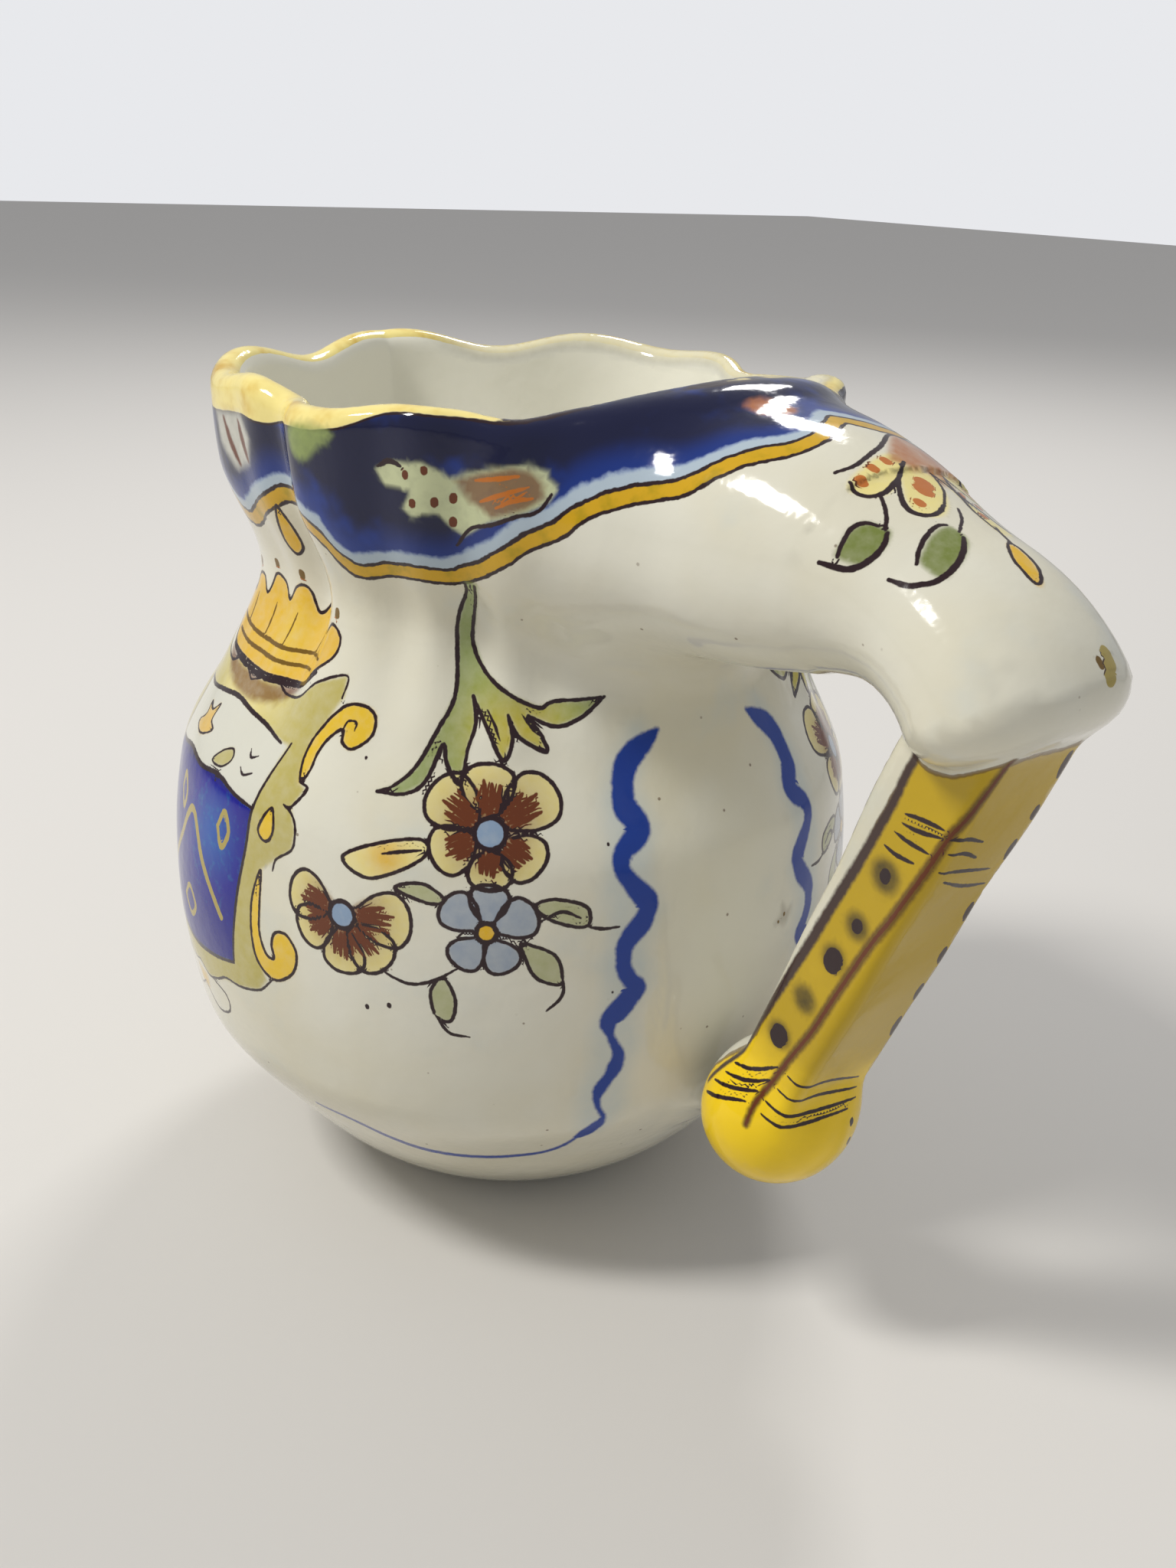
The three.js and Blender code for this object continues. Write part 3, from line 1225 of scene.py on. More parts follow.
# Lower border of the rim band: degrees from the arm, distance from the axis, and height.
BAND_EDGE = (
    (0.0, 52.0, 105.5), (5.1, 54.6, 104.4), (8.3, 54.4, 103.6), (12.2, 51.6, 101.9), (16.6, 48.6, 98.9),
    (21.0, 45.0, 97.2), (24.0, 42.5, 95.6), (27.1, 41.0, 94.0), (30.0, 40.0, 92.3), (35.0, 38.5, 90.3),
    (41.0, 36.5, 87.4), (47.0, 35.0, 85.6), (53.0, 33.0, 85.7), (61.0, 32.0, 85.2), (66.0, 32.0, 84.6),
    (70.0, 32.0, 86.0), (73.0, 32.0, 87.8), (77.5, 32.0, 89.1), (87.0, 31.0, 90.6), (96.0, 33.0, 88.6),
    (108.0, 33.0, 85.6), (120.0, 34.0, 89.4), (134.0, 33.0, 85.8), (148.0, 34.0, 85.6), (160.0, 34.0, 89.2),
    (172.0, 33.0, 86.2), (180.0, 33.0, 85.8),
)  # fmt: skip


@dataclass(frozen=True)
class Zones:
    """Fields that tell rim band, lip, hollow and pipe from the plain glaze."""

    form: JugForm
    reach: float = 4.0
    band_start: float = 38.0
    band_reach: tuple[float, float] = (-12.0, 40.0)
    least_slope: float = 0.6
    greatest_slope: float = 2.5
    lip_inside: float = -0.2
    lip_steps: tuple[Step, ...] = ((0.8, 0.0, 1.0), (1.2, 56.0, 68.0), (2.2, 82.0, 94.0))
    lip_gap: float = 3.4
    lip_gap_angle: float = 30.0
    lip_end: float = 41.0
    lip_reach: float = 20.0
    pipe_margin: float = 0.35
    pale_inner_face: float = 2.3
    pale_narrows: float = 1.3
    bell_wraps: float = 3.4
    bell_band: float = 2.6

    def descent(self, p: Array) -> Array:
        """How far below and away from the rim a point lies."""
        angle, rho = polar(p)
        return self.form.bag.rim(angle) - p[:, 2] + soft_max(rho - self.band_start, np.zeros(len(p)), 2.0)

    def edge_table(self) -> tuple[Array, Array]:
        """Descent of the band's lower border against the angle from the arm.

        Returns:
            Angles and descents.
        """
        rows = np.array(BAND_EDGE)
        turn = np.radians(rows[:, 0])
        p = np.stack([rows[:, 1] * np.cos(turn), rows[:, 1] * np.sin(turn), rows[:, 2]], -1)
        samples = curve_through(np.stack([rows[:, 0], self.descent(p)], -1), 1.0)
        return samples[:, 0], samples[:, 1]

    def band_raw(self, p: Array) -> Array:
        """Signed place above the band's lower border, before it is scaled."""
        angles, depth = self.edge_table()
        return np.interp(np.abs(polar(p)[0]), angles, depth) - self.descent(p)

    def band(self, p: Array, normal: Array) -> Array:
        """Distance above the band's lower border along the surface.

        Args:
            p: Points on the surface.
            normal: Unit normals there.

        Returns:
            Signed distance in millimetres.
        """
        g = gradient_of(self.band_raw, p, 0.2)
        g = g - (g * normal).sum(-1)[:, None] * normal
        slope = np.clip(np.linalg.norm(g, axis=1), self.least_slope, self.greatest_slope)
        return np.clip(self.band_raw(p) / slope, *self.band_reach)

    def outer(self, p: Array) -> Array:
        """Tells the outside of the jug, where it is positive, from its hollow."""
        return np.clip(self.form.hollow(p) + self.form.outside(p), -self.reach, self.reach)

    def lip(self, p: Array) -> Array:
        """Signed place below the painted lip.

        Args:
            p: Points on the surface.

        Returns:
            Negative on the lip.
        """
        angle, rho = polar(p)
        side = np.abs(angle)
        outside = sum(height * smooth(low, high, side) for height, low, high in self.lip_steps)
        width = self.lip_inside + (outside - self.lip_inside) * smooth(-2.0, 3.0, self.outer(p))
        width = width - self.lip_gap * bell(side, self.lip_gap_angle)
        far_out = soft_max(rho - self.lip_end, np.zeros(len(p)), 2.0)
        return np.clip(self.form.bag.rim(angle) - p[:, 2] - width + far_out, -self.reach, self.lip_reach)

    def rubbed(self, p: Array) -> Array:
        """How far the paint is rubbed off the top of the far rim."""
        top = smooth(2.4, 1.2, self.outer(p)) * smooth(2.5, 0.5, self.descent(p))
        return top * smooth(2.0, 12.0, p[:, 1]) * smooth(-37.0, -30.0, p[:, 0])

    def pipe(self, p: Array) -> Array:
        """Signed place inside the yellow of the pipe.

        Args:
            p: Points on the surface.

        Returns:
            Positive on the yellow.
        """
        pipe = self.form.pipe
        others = np.minimum(self.form.arm.outside(p), self.form.bag.side(p, 0.0))
        on_pipe = np.minimum(others, pipe.web(p)) - pipe.distance(p) - self.pipe_margin
        along, out = pipe.local(p)
        length = pipe.axis()[2]
        inner = out + self.pale_inner_face + self.pale_narrows * smooth(15.0, 45.0, along)
        inner = inner + self.bell_wraps * smooth(length - 12.0, length + 1.0, along)
        return np.clip(np.minimum(on_pipe, inner), -self.reach, self.reach)

    def bell_rim(self, p: Array) -> Array:
        """Signed place past the yellow of the bell, towards its open end.

        Args:
            p: Points on the surface.

        Returns:
            Positive on the pale rim of the bell.
        """
        pipe = self.form.pipe
        past = pipe.local(p)[0] - pipe.axis()[2] - pipe.bell_cut + self.bell_band
        return np.clip(past, -self.reach, self.reach)


def brushed(
    rows: Rows | Array, width: float, tone: Tone = Tone.INK, taper: float = 0.3, broad: bool = False
) -> Stroke:
    """A smooth stroke through places."""
    return Stroke(curve_through(np.array(rows), PAINT_STEP), width, tone, taper, broad)


def outlined(rows: Rows | Array, width: float) -> Stroke:
    """A stroke all round a smooth outline."""
    return Stroke(loop(rows), width, taper=0.1)


def each(
    rows: tuple[Rows, ...], width: float, tone: Tone = Tone.INK, taper: float = 0.3
) -> tuple[Stroke, ...]:
    """A smooth stroke through each row of places."""
    return tuple(brushed(row, width, tone, taper) for row in rows)


def dabs(rows: Rows, width: float, tone: Tone) -> tuple[Stroke, ...]:
    """Round dabs of the brush."""
    half = width * 0.14
    return tuple(Stroke(np.array([(u, v - half), (u, v + half)]), width, tone, 0.0) for u, v in rows)


def mirrored(rows: Rows, middle: float = 0.0) -> Rows:
    """Places mirrored to the other side of a chart."""
    return tuple((2 * middle - u, v) for u, v in rows)


def closed(rows: Rows) -> Rows:
    """Outline made whole from its right half."""
    return rows + mirrored(rows)[-2:0:-1]


def flowers(side: float) -> list[Motif]:
    """The spray of flowers that hangs from the band.

    Args:
        side: -1 for the near side, 1 for the far side.

    Returns:
        Its motifs.
    """
    big = BagChart((51.0, 59.9), side)
    small = BagChart((51.0, 49.4), side)
    half = BagChart((29.0, 49.0), side)
    stalk = BagChart((46.0, 84.5), side)
    cluster = (
        ((-0.6, 0.7), (-0.7, -0.6), (-1.9, -4.9), (-1.7, -12.3), (-3.1, -16.0), (-5.2, -20.4),
         (-7.5, -22.8), (-9.3, -23.7)),
        ((-9.3, -23.7), (-6.3, -23.5), (-4.0, -21.9), (-2.5, -17.8), (-1.9, -19.7), (-0.3, -21.8),
         (0.2, -18.1)),
        ((0.2, -18.1), (0.8, -15.1), (0.2, -12.4)),
        ((0.2, -12.4), (2.1, -15.6), (4.1, -18.9), (4.9, -16.7), (4.2, -14.0)),
        ((4.2, -14.0), (5.6, -16.4), (8.5, -18.0), (7.9, -16.4), (6.2, -14.1)),
        ((6.2, -14.1), (9.2, -15.3), (11.9, -14.3), (14.3, -12.1)),
        ((14.3, -12.1), (8.9, -12.6), (7.3, -13.3), (4.2, -11.8), (1.2, -9.5), (-0.3, -6.2), (0.5, -0.6),
         (0.7, 0.7)),
    )  # fmt: skip
    fill = np.array([point for part in cluster for point in part])
    dark = Wash(fill, STALK_GREEN, 0.9, heart=Heart((5.5, -16.5), STALK_TIP, 5.5))
    veins = (((1.9, -13.6), (2.9, -15.2), (3.6, -16.8)), ((5.6, -13.9), (6.6, -15.2), (7.4, -16.2)))
    lines = each(cluster, 0.5, taper=0.25) + each(veins, 0.34, taper=0.6)
    wide = ((-0.8, 7.4), (-6.5, 4.5), (-6.1, -3.0), (0.3, -6.1), (5.6, -3.7), (6.4, 5.2))
    little = ((0.3, 5.4), (-4.6, 3.3), (-3.2, -4.0), (2.6, -4.4), (5.2, 2.6))
    turned = ((-7.2, 1.6), (-5.7, -3.4), (0.4, -6.9), (5.6, -5.0), (8.2, 0.8))
    return [
        Drawing(stalk, lines, (dark,)),
        Blossom(big, petals(wide, 0.76), 1.7, PALE_YELLOW, HEART_BLUE),
        Blossom(small, petals(little, 0.78), 1.1, GREY_BLUE, YELLOW, streaks=0),
        Blossom(half, petals(turned, 0.76), 1.6, PALE_YELLOW, HEART_BLUE),
        Sprig(
            big,
            leaves=(((-7.2, -1.3), (-12.2, -2.4), (-16.4, -4.7), (-12.9, -6.3), (-7.1, -3.3)),),
            stems=(((-7.2, -2.4), (-9.6, -2.9), (-11.6, -3.4)),),
            colour=PALE_YELLOW,
            shade=YELLOW,
        ),
        Sprig(
            small,
            leaves=(
                ((-4.5, 3.4), (-7.0, 4.9), (-10.0, 4.0), (-6.2, 2.8)),
                ((5.1, 3.1), (7.1, 3.9), (10.6, 2.9), (10.7, 0.7), (7.2, 1.4)),
                ((3.9, -1.1), (7.4, -2.5), (8.3, -5.2), (7.9, -6.1), (5.4, -5.1), (4.1, -2.5)),
                ((-4.5, -5.7), (-5.9, -7.4), (-5.4, -10.4), (-3.7, -11.0), (-3.2, -8.3)),
            ),
            stems=(
                ((-11.6, -5.7), (-10.1, -6.5), (-7.9, -6.9), (-5.4, -6.0), (-2.9, -4.3)),
                ((10.7, 0.7), (12.5, 0.3), (14.3, 0.4)),
                ((8.3, -5.2), (8.5, -6.6), (8.1, -7.9), (6.7, -9.3)),
                ((-5.4, -10.4), (-3.9, -12.5), (-1.6, -12.9)),
                ((6.0, 1.6), (8.0, 2.5), (10.0, 1.7)),
            ),
        ),
    ]


def scallops(side: float) -> list[Motif]:
    """The thick wavy cobalt line on the belly and its thin end along the base.

    Args:
        side: -1 for the near side, 1 for the far side.

    Returns:
        Its motifs.
    """
    chart = BagChart((73.0, 45.0), side)
    line = (
        (79.6, 69.2, 0.7), (77.2, 68.2, 2.4), (74.6, 67.1, 3.3), (73.0, 66.0, 3.5), (72.2, 64.7, 3.4),
        (71.9, 63.1, 3.2), (72.0, 62.0, 3.4), (73.2, 61.0, 3.6), (73.8, 59.9, 3.5), (72.8, 59.0, 3.4),
        (71.2, 58.1, 2.8), (70.5, 57.1, 2.4), (70.7, 56.0, 2.4), (71.8, 54.8, 3.0), (73.4, 53.4, 3.3),
        (74.8, 52.1, 2.7), (74.4, 50.9, 3.2), (73.6, 49.8, 3.2), (72.2, 48.6, 2.7), (71.2, 47.4, 2.3),
        (71.1, 46.2, 2.4), (71.2, 44.9, 2.5), (72.0, 43.5, 3.1), (73.3, 42.2, 3.4), (72.2, 41.0, 3.6),
        (70.8, 39.6, 2.6), (69.4, 38.4, 1.2), (69.5, 37.0, 1.4), (70.2, 35.6, 2.0), (71.2, 33.9, 2.5),
        (71.0, 32.4, 1.9), (70.3, 31.0, 2.2), (69.1, 29.5, 1.2), (68.5, 28.0, 0.8), (69.0, 26.2, 0.9),
        (70.0, 24.6, 2.2), (68.4, 22.6, 2.4), (66.4, 20.8, 1.4),
    )  # fmt: skip
    foot = (
        (66.4, 20.8), (64.5, 18.6), (61.5, 17.0), (58.0, 16.2), (52.0, 15.4), (45.0, 15.2),
        (38.0, 15.8), (32.0, 17.4), (26.0, 19.2), (18.0, 19.6),
    )  # fmt: skip
    halo = (
        (76.0, 71.0), (73.0, 68.5), (70.0, 66.0), (68.2, 63.0), (68.6, 58.0), (67.6, 54.0), (68.8, 50.0),
        (67.8, 45.0), (68.4, 41.0), (66.8, 37.0), (67.0, 33.0), (65.2, 28.0), (66.0, 23.0), (70.0, 22.0),
        (74.0, 26.0), (73.0, 31.0), (74.6, 35.0), (73.6, 39.0), (76.0, 43.0), (74.6, 47.0), (77.2, 51.0),
        (75.0, 55.0), (76.6, 60.0), (74.6, 64.0), (78.0, 69.0),
    )  # fmt: skip
    haze = Wash(np.array(chart.places(halo)), HALO_BLUE, 0.34, edge=1.6)
    path = curve_through(np.array(chart.places(tuple((a, z) for a, z, _ in line))), 0.15)
    strokes = (
        Stroke(path, 0.78, Tone.COBALT, broad=True, profile=tuple(width for _, _, width in line)),
        brushed(chart.places(foot), 1.15, Tone.COBALT, 0.5, True),
    )
    return [Drawing(chart, strokes, (haze,))]


def arm_spray(side: float) -> list[Motif]:
    """The flower and leaves that lie over the top of the arm, seen from one side.

    Args:
        side: -1 for the near side, 1 for the far side.

    Returns:
        Its motifs.
    """
    chart = ArmChart()
    middle = -4.4

    def way(rows: Rows) -> Rows:
        """Places on the side that is painted."""
        return rows if side < 0 else mirrored(rows, middle)

    low = ((6.9, 28.0), (7.2, 29.0), (6.6, 29.9), (5.4, 30.3), (3.9, 30.1), (1.7, 29.3), (-0.5, 27.8))
    petal = ((1.7, 29.3), (3.4, 30.8), (4.5, 32.2), (4.5, 33.2), (3.4, 34.0), (1.8, 34.0), (0.0, 33.3))
    inner = ((0.0, 33.3), (-2.1, 31.7), (-3.0, 30.3), (-3.4, 29.0), (-1.2, 28.2), (0.4, 28.4))
    long_petal = ((-3.4, 28.9), (-4.1, 30.4), (-4.2, 32.0), (-3.5, 34.2), (-3.2, 36.6), (-4.4, 36.6))
    leaf = ((13.1, 31.6), (11.9, 31.3), (10.4, 31.1), (9.2, 31.6), (8.6, 32.6))
    leaf_low = (
        (14.2, 30.4), (13.9, 31.9), (13.5, 33.0), (12.6, 33.8), (11.2, 34.2), (9.8, 34.1), (8.5, 33.5),
    )  # fmt: skip
    second = ((9.2, 37.0), (7.8, 36.2), (5.8, 35.5), (3.9, 35.2), (2.8, 35.4))
    second_low = (
        (12.1, 36.4), (11.4, 37.8), (10.2, 38.6), (9.0, 39.0), (7.0, 38.9), (4.7, 38.2), (2.7, 37.0),
    )  # fmt: skip
    arc = ((7.0, 26.4), (5.1, 26.8), (3.3, 26.5), (0.5, 25.6), (-1.6, 24.4), (-3.2, 23.3), (-4.4, 22.9))
    curl = ((5.6, 30.4), (6.3, 31.4), (7.3, 32.4), (8.5, 33.2))
    stem = ((-1.3, 33.9), (0.1, 35.2), (2.4, 36.4))
    pulls = (
        (0.52, 0.2, arc), (0.58, 0.35, low), (0.62, 0.3, petal), (0.36, 0.2, inner[:4]),
        (0.42, 0.2, long_petal[:5]), (0.44, 0.1, curl), (0.5, 0.3, leaf), (0.66, 0.35, leaf_low),
        (0.38, 0.2, stem), (0.5, 0.3, second), (0.66, 0.35, second_low),
    )  # fmt: skip
    strokes = tuple(brushed(way(rows), width, taper=taper) for width, taper, rows in pulls)
    strokes += dabs(way(((1.5, 27.4), (3.7, 27.8), (5.8, 28.4), (2.7, 32.5))), 1.05, Tone.AMBER)
    strokes += dabs(way(((-0.6, 30.4), (0.4, 31.2))), 1.7, Tone.AMBER)
    fan = (
        (-4.4, 22.9), (-2.6, 24.2), (-0.2, 26.2), (1.0, 27.3), (-0.9, 28.6), (-3.0, 28.4),
        (-3.6, 30.6), (-4.4, 29.8),
    )  # fmt: skip
    fills = (
        Wash(loop(way(((0.0, 26.4),) + low)), PALE_YELLOW, 0.95),
        Wash(loop(way(petal + inner)), PALE_YELLOW, 0.95),
        Wash(loop(way(long_petal + ((-4.4, 29.0),))), PALE_YELLOW, 0.9),
        Wash(np.array(way(fan)), FAN_RUST, 0.85, edge=0.5),
        Wash(loop(way(leaf + leaf_low[6:2:-1])), ARM_LEAF, 0.95),
        Wash(loop(way(second + second_low[6:2:-1])), ARM_LEAF, 0.95),
    )
    made = [Drawing(chart, strokes, fills)]
    if side < 0:
        drop = (
            (-1.8, 38.4), (-0.1, 39.9), (0.3, 41.3), (0.2, 42.3), (-0.9, 42.2), (-2.2, 41.1),
            (-2.7, 39.7),
        )  # fmt: skip
        outline = loop(drop + ((-2.7, 38.6),))
        stem = brushed(((-3.8, 36.2), (-3.2, 37.0), (-2.6, 38.2)), 0.4, taper=0.1)
        lines = (Stroke(outline, 0.42, taper=0.1), stem)
        lines += dabs(((-5.0, 31.6), (-4.4, 34.6), (-6.0, 33.0)), 0.8, Tone.AMBER)
        made.append(Drawing(chart, lines, (Wash(outline, YELLOW, 0.95),)))
    spot = loop(way(((4.6, 14.8), (3.0, 14.4), (1.8, 15.6), (1.6, 17.6), (2.8, 18.4), (4.4, 17.4))))
    blots = (Wash(spot, COBALT_THIN, 0.9, edge=0.5), Wash(spot * 0.98 + 0.1, FAN_RUST, 0.9, edge=0.4))
    made.append(Drawing(chart, (), blots))
    return made


def rim_marks(side: float) -> list[Motif]:
    """What is painted on the cobalt of the rim band: a moss spot, a small bird, and a drop in the fold.

    Args:
        side: -1 for the near side, 1 for the far side.

    Returns:
        Its motifs.
    """
    chart = BagChart((45.0, 94.0), side)
    front = BagChart((5.0, 92.0), side)
    moss = (
        (12.5, 99.0), (12.7, 97.0), (14.6, 96.0), (17.3, 96.2), (20.0, 97.6), (22.4, 98.4),
        (23.1, 99.5), (16.8, 99.8),
    )  # fmt: skip
    head = (
        (30.6, 96.4), (33.7, 97.4), (36.7, 97.4), (38.9, 97.6), (41.1, 97.0), (43.3, 96.3), (48.0, 97.2),
        (53.0, 98.0), (55.8, 98.2), (58.3, 97.6), (60.1, 96.1), (58.8, 94.8), (55.2, 93.5), (49.4, 92.2),
        (45.4, 90.4), (43.5, 91.1), (41.0, 92.6), (37.2, 92.0), (35.5, 92.7), (37.0, 94.5), (32.1, 94.8),
    )  # fmt: skip
    wing = (
        (44.0, 96.0), (48.2, 97.0), (53.0, 97.8), (55.8, 97.6), (57.6, 96.6), (58.2, 95.2), (55.2, 93.9),
        (50.0, 92.7), (48.6, 93.4), (45.6, 94.4),
    )  # fmt: skip
    under = ((44.1, 89.4), (46.7, 91.3), (50.5, 92.1), (53.8, 93.1), (57.4, 93.7), (59.4, 95.2))
    drop = (
        (-1.8, 89.0), (-3.6, 86.8), (-4.3, 84.6), (-2.6, 83.2), (-0.2, 84.2), (-0.2, 86.2),
        (-1.0, 88.0),
    )  # fmt: skip
    lines = (brushed(chart.places(under), 0.45, taper=0.3),)
    lines += dabs(chart.places(((36.2, 96.2), (39.3, 96.8), (37.3, 93.4))), 0.75, Tone.RUST)
    lines += dabs(chart.places(((43.7, 94.2), (43.6, 91.8), (40.8, 93.7))), 0.85, Tone.RUST)
    lines += (brushed(chart.places(((31.0, 96.6), (33.2, 97.3), (35.4, 97.0))), 0.6, taper=0.5),)
    streaks = (
        ((47.4, 96.2), (50.8, 96.6), (54.0, 97.0)),
        ((48.4, 94.2), (52.0, 95.2), (55.6, 96.0)),
        ((51.0, 93.8), (53.4, 94.6), (56.4, 94.9)),
    )
    lines += each(tuple(chart.places(row) for row in streaks), 0.5, Tone.AMBER, 0.6)
    outline = loop(front.places(drop))
    lobe = (((-17.0, 97.2), (-15.0, 94.6), (-12.4, 92.4)), ((-10.6, 97.4), (-9.6, 95.2), (-8.2, 93.2)))
    smudges = tuple(brushed(front.places(row), 1.1, Tone.RUST, 0.6, True) for row in lobe)
    pale = ((-21.0, 97.6), (-9.0, 98.4), (-6.0, 96.0), (-8.0, 93.0), (-14.0, 91.6), (-20.0, 94.0))
    return [
        Drawing(
            chart,
            lines,
            (
                Wash(loop(chart.places(moss)), MOSS, 0.9, edge=0.5),
                Wash(np.array(chart.places(head)), BIRD_PALE, 0.97, edge=0.3),
                Wash(np.array(chart.places(wing)), RUST_WASH, 0.8, edge=0.4),
            ),
        ),
        Drawing(
            front,
            (Stroke(outline, 0.42, taper=0.1), *smudges),
            (Wash(outline, YELLOW, 0.95), Wash(np.array(front.places(pale)), WHITE, 0.8, edge=0.8)),
        ),
    ]


def pipe_marks() -> list[Motif]:
    """Ridge line, edge lines, rings and soft round spots of the pipe.

    Returns:
        Its motifs.
    """
    chart = PipeChart()
    ridge = (
        (4.9, 0.5), (5.1, 3.5), (5.6, 7.3), (6.6, 10.4), (6.9, 15.2), (7.4, 21.6), (8.0, 26.6), (8.3, 34.3),
        (8.5, 39.9), (9.2, 45.7), (9.6, 52.1), (9.3, 56.2),
    )  # fmt: skip
    edge = (
        (13.4, 5.0), (13.5, 8.5), (13.2, 12.1), (13.3, 18.7), (13.6, 24.8), (13.8, 33.1), (14.3, 40.2),
        (14.9, 46.0), (15.4, 52.0), (15.6, 57.6),
    )  # fmt: skip
    rings = (
        ((11.6, 11.9), (10.0, 11.1), (7.4, 10.1)),
        ((11.4, 12.9), (9.7, 12.3), (7.3, 11.0)),
        ((11.6, 14.2), (9.9, 13.9), (7.5, 13.2)),
        ((11.9, 16.2), (10.3, 16.0), (8.3, 15.2)),
        ((6.8, 10.7), (4.3, 10.4), (1.4, 11.5)),
        ((5.4, 12.2), (3.4, 12.4), (0.9, 13.7)),
        ((5.3, 14.5), (2.5, 15.0), (-3.0, 16.5)),
        ((3.9, 16.0), (-0.1, 17.9), (-4.0, 19.0)),
        ((14.4, 52.6), (12.1, 50.8), (9.9, 47.8)),
        ((14.2, 54.4), (12.0, 52.8), (9.9, 50.0)),
        ((14.4, 56.3), (12.2, 54.8), (10.1, 52.2)),
        ((14.2, 58.0), (12.2, 56.8), (10.3, 54.4)),
        ((8.4, 47.5), (2.8, 47.2), (-3.4, 49.2)),
        ((8.6, 50.0), (2.6, 49.5), (-3.6, 50.9)),
        ((8.9, 52.3), (3.4, 51.8), (-3.4, 52.6)),
        ((8.5, 53.9), (4.2, 53.3), (-1.6, 53.9)),
    )
    strokes = each(rings, 0.5, taper=0.6)
    strokes += dabs(((10.5, 31.3), (11.6, 44.5)), 2.3, Tone.INK)
    strokes += dabs(((10.2, 18.8), (10.2, 25.9)), 1.3, Tone.INK)
    strokes += dabs(((-1.8, 55.6), (-1.7, 57.2), (-2.1, 59.2)), 0.8, Tone.INK)
    dashes = (
        (2.0, 5.0), (8.6, 10.2), (13.0, 15.6), (22.0, 24.4), (28.4, 30.6), (34.0, 36.4), (39.4, 42.4),
    )  # fmt: skip
    strokes += each(tuple(((-4.2, a), (-4.6, b)) for a, b in dashes), 1.1, Tone.SLATE, 0.5)
    strokes += (brushed(ridge, 0.42, Tone.RUST, 0.3),)
    broad = (brushed(ridge, 1.2, Tone.OLIVE, 0.3, True), brushed(edge, 1.2, Tone.SLATE, 0.3, True))
    broad += (brushed(mirrored(edge), 1.3, Tone.SLATE, 0.3, True),)
    spots = (
        (10.2, 18.8, 1.8), (10.2, 25.9, 1.5), (11.1, 37.9, 1.6), (10.6, 31.0, 1.5), (11.6, 44.3, 1.6),
    )  # fmt: skip
    fills = tuple(Wash(circle(size, 13)[:-1] + (u, v), SPOT_BROWN, 0.9, edge=0.7) for u, v, size in spots)
    return [Drawing(chart, strokes + broad, fills)]


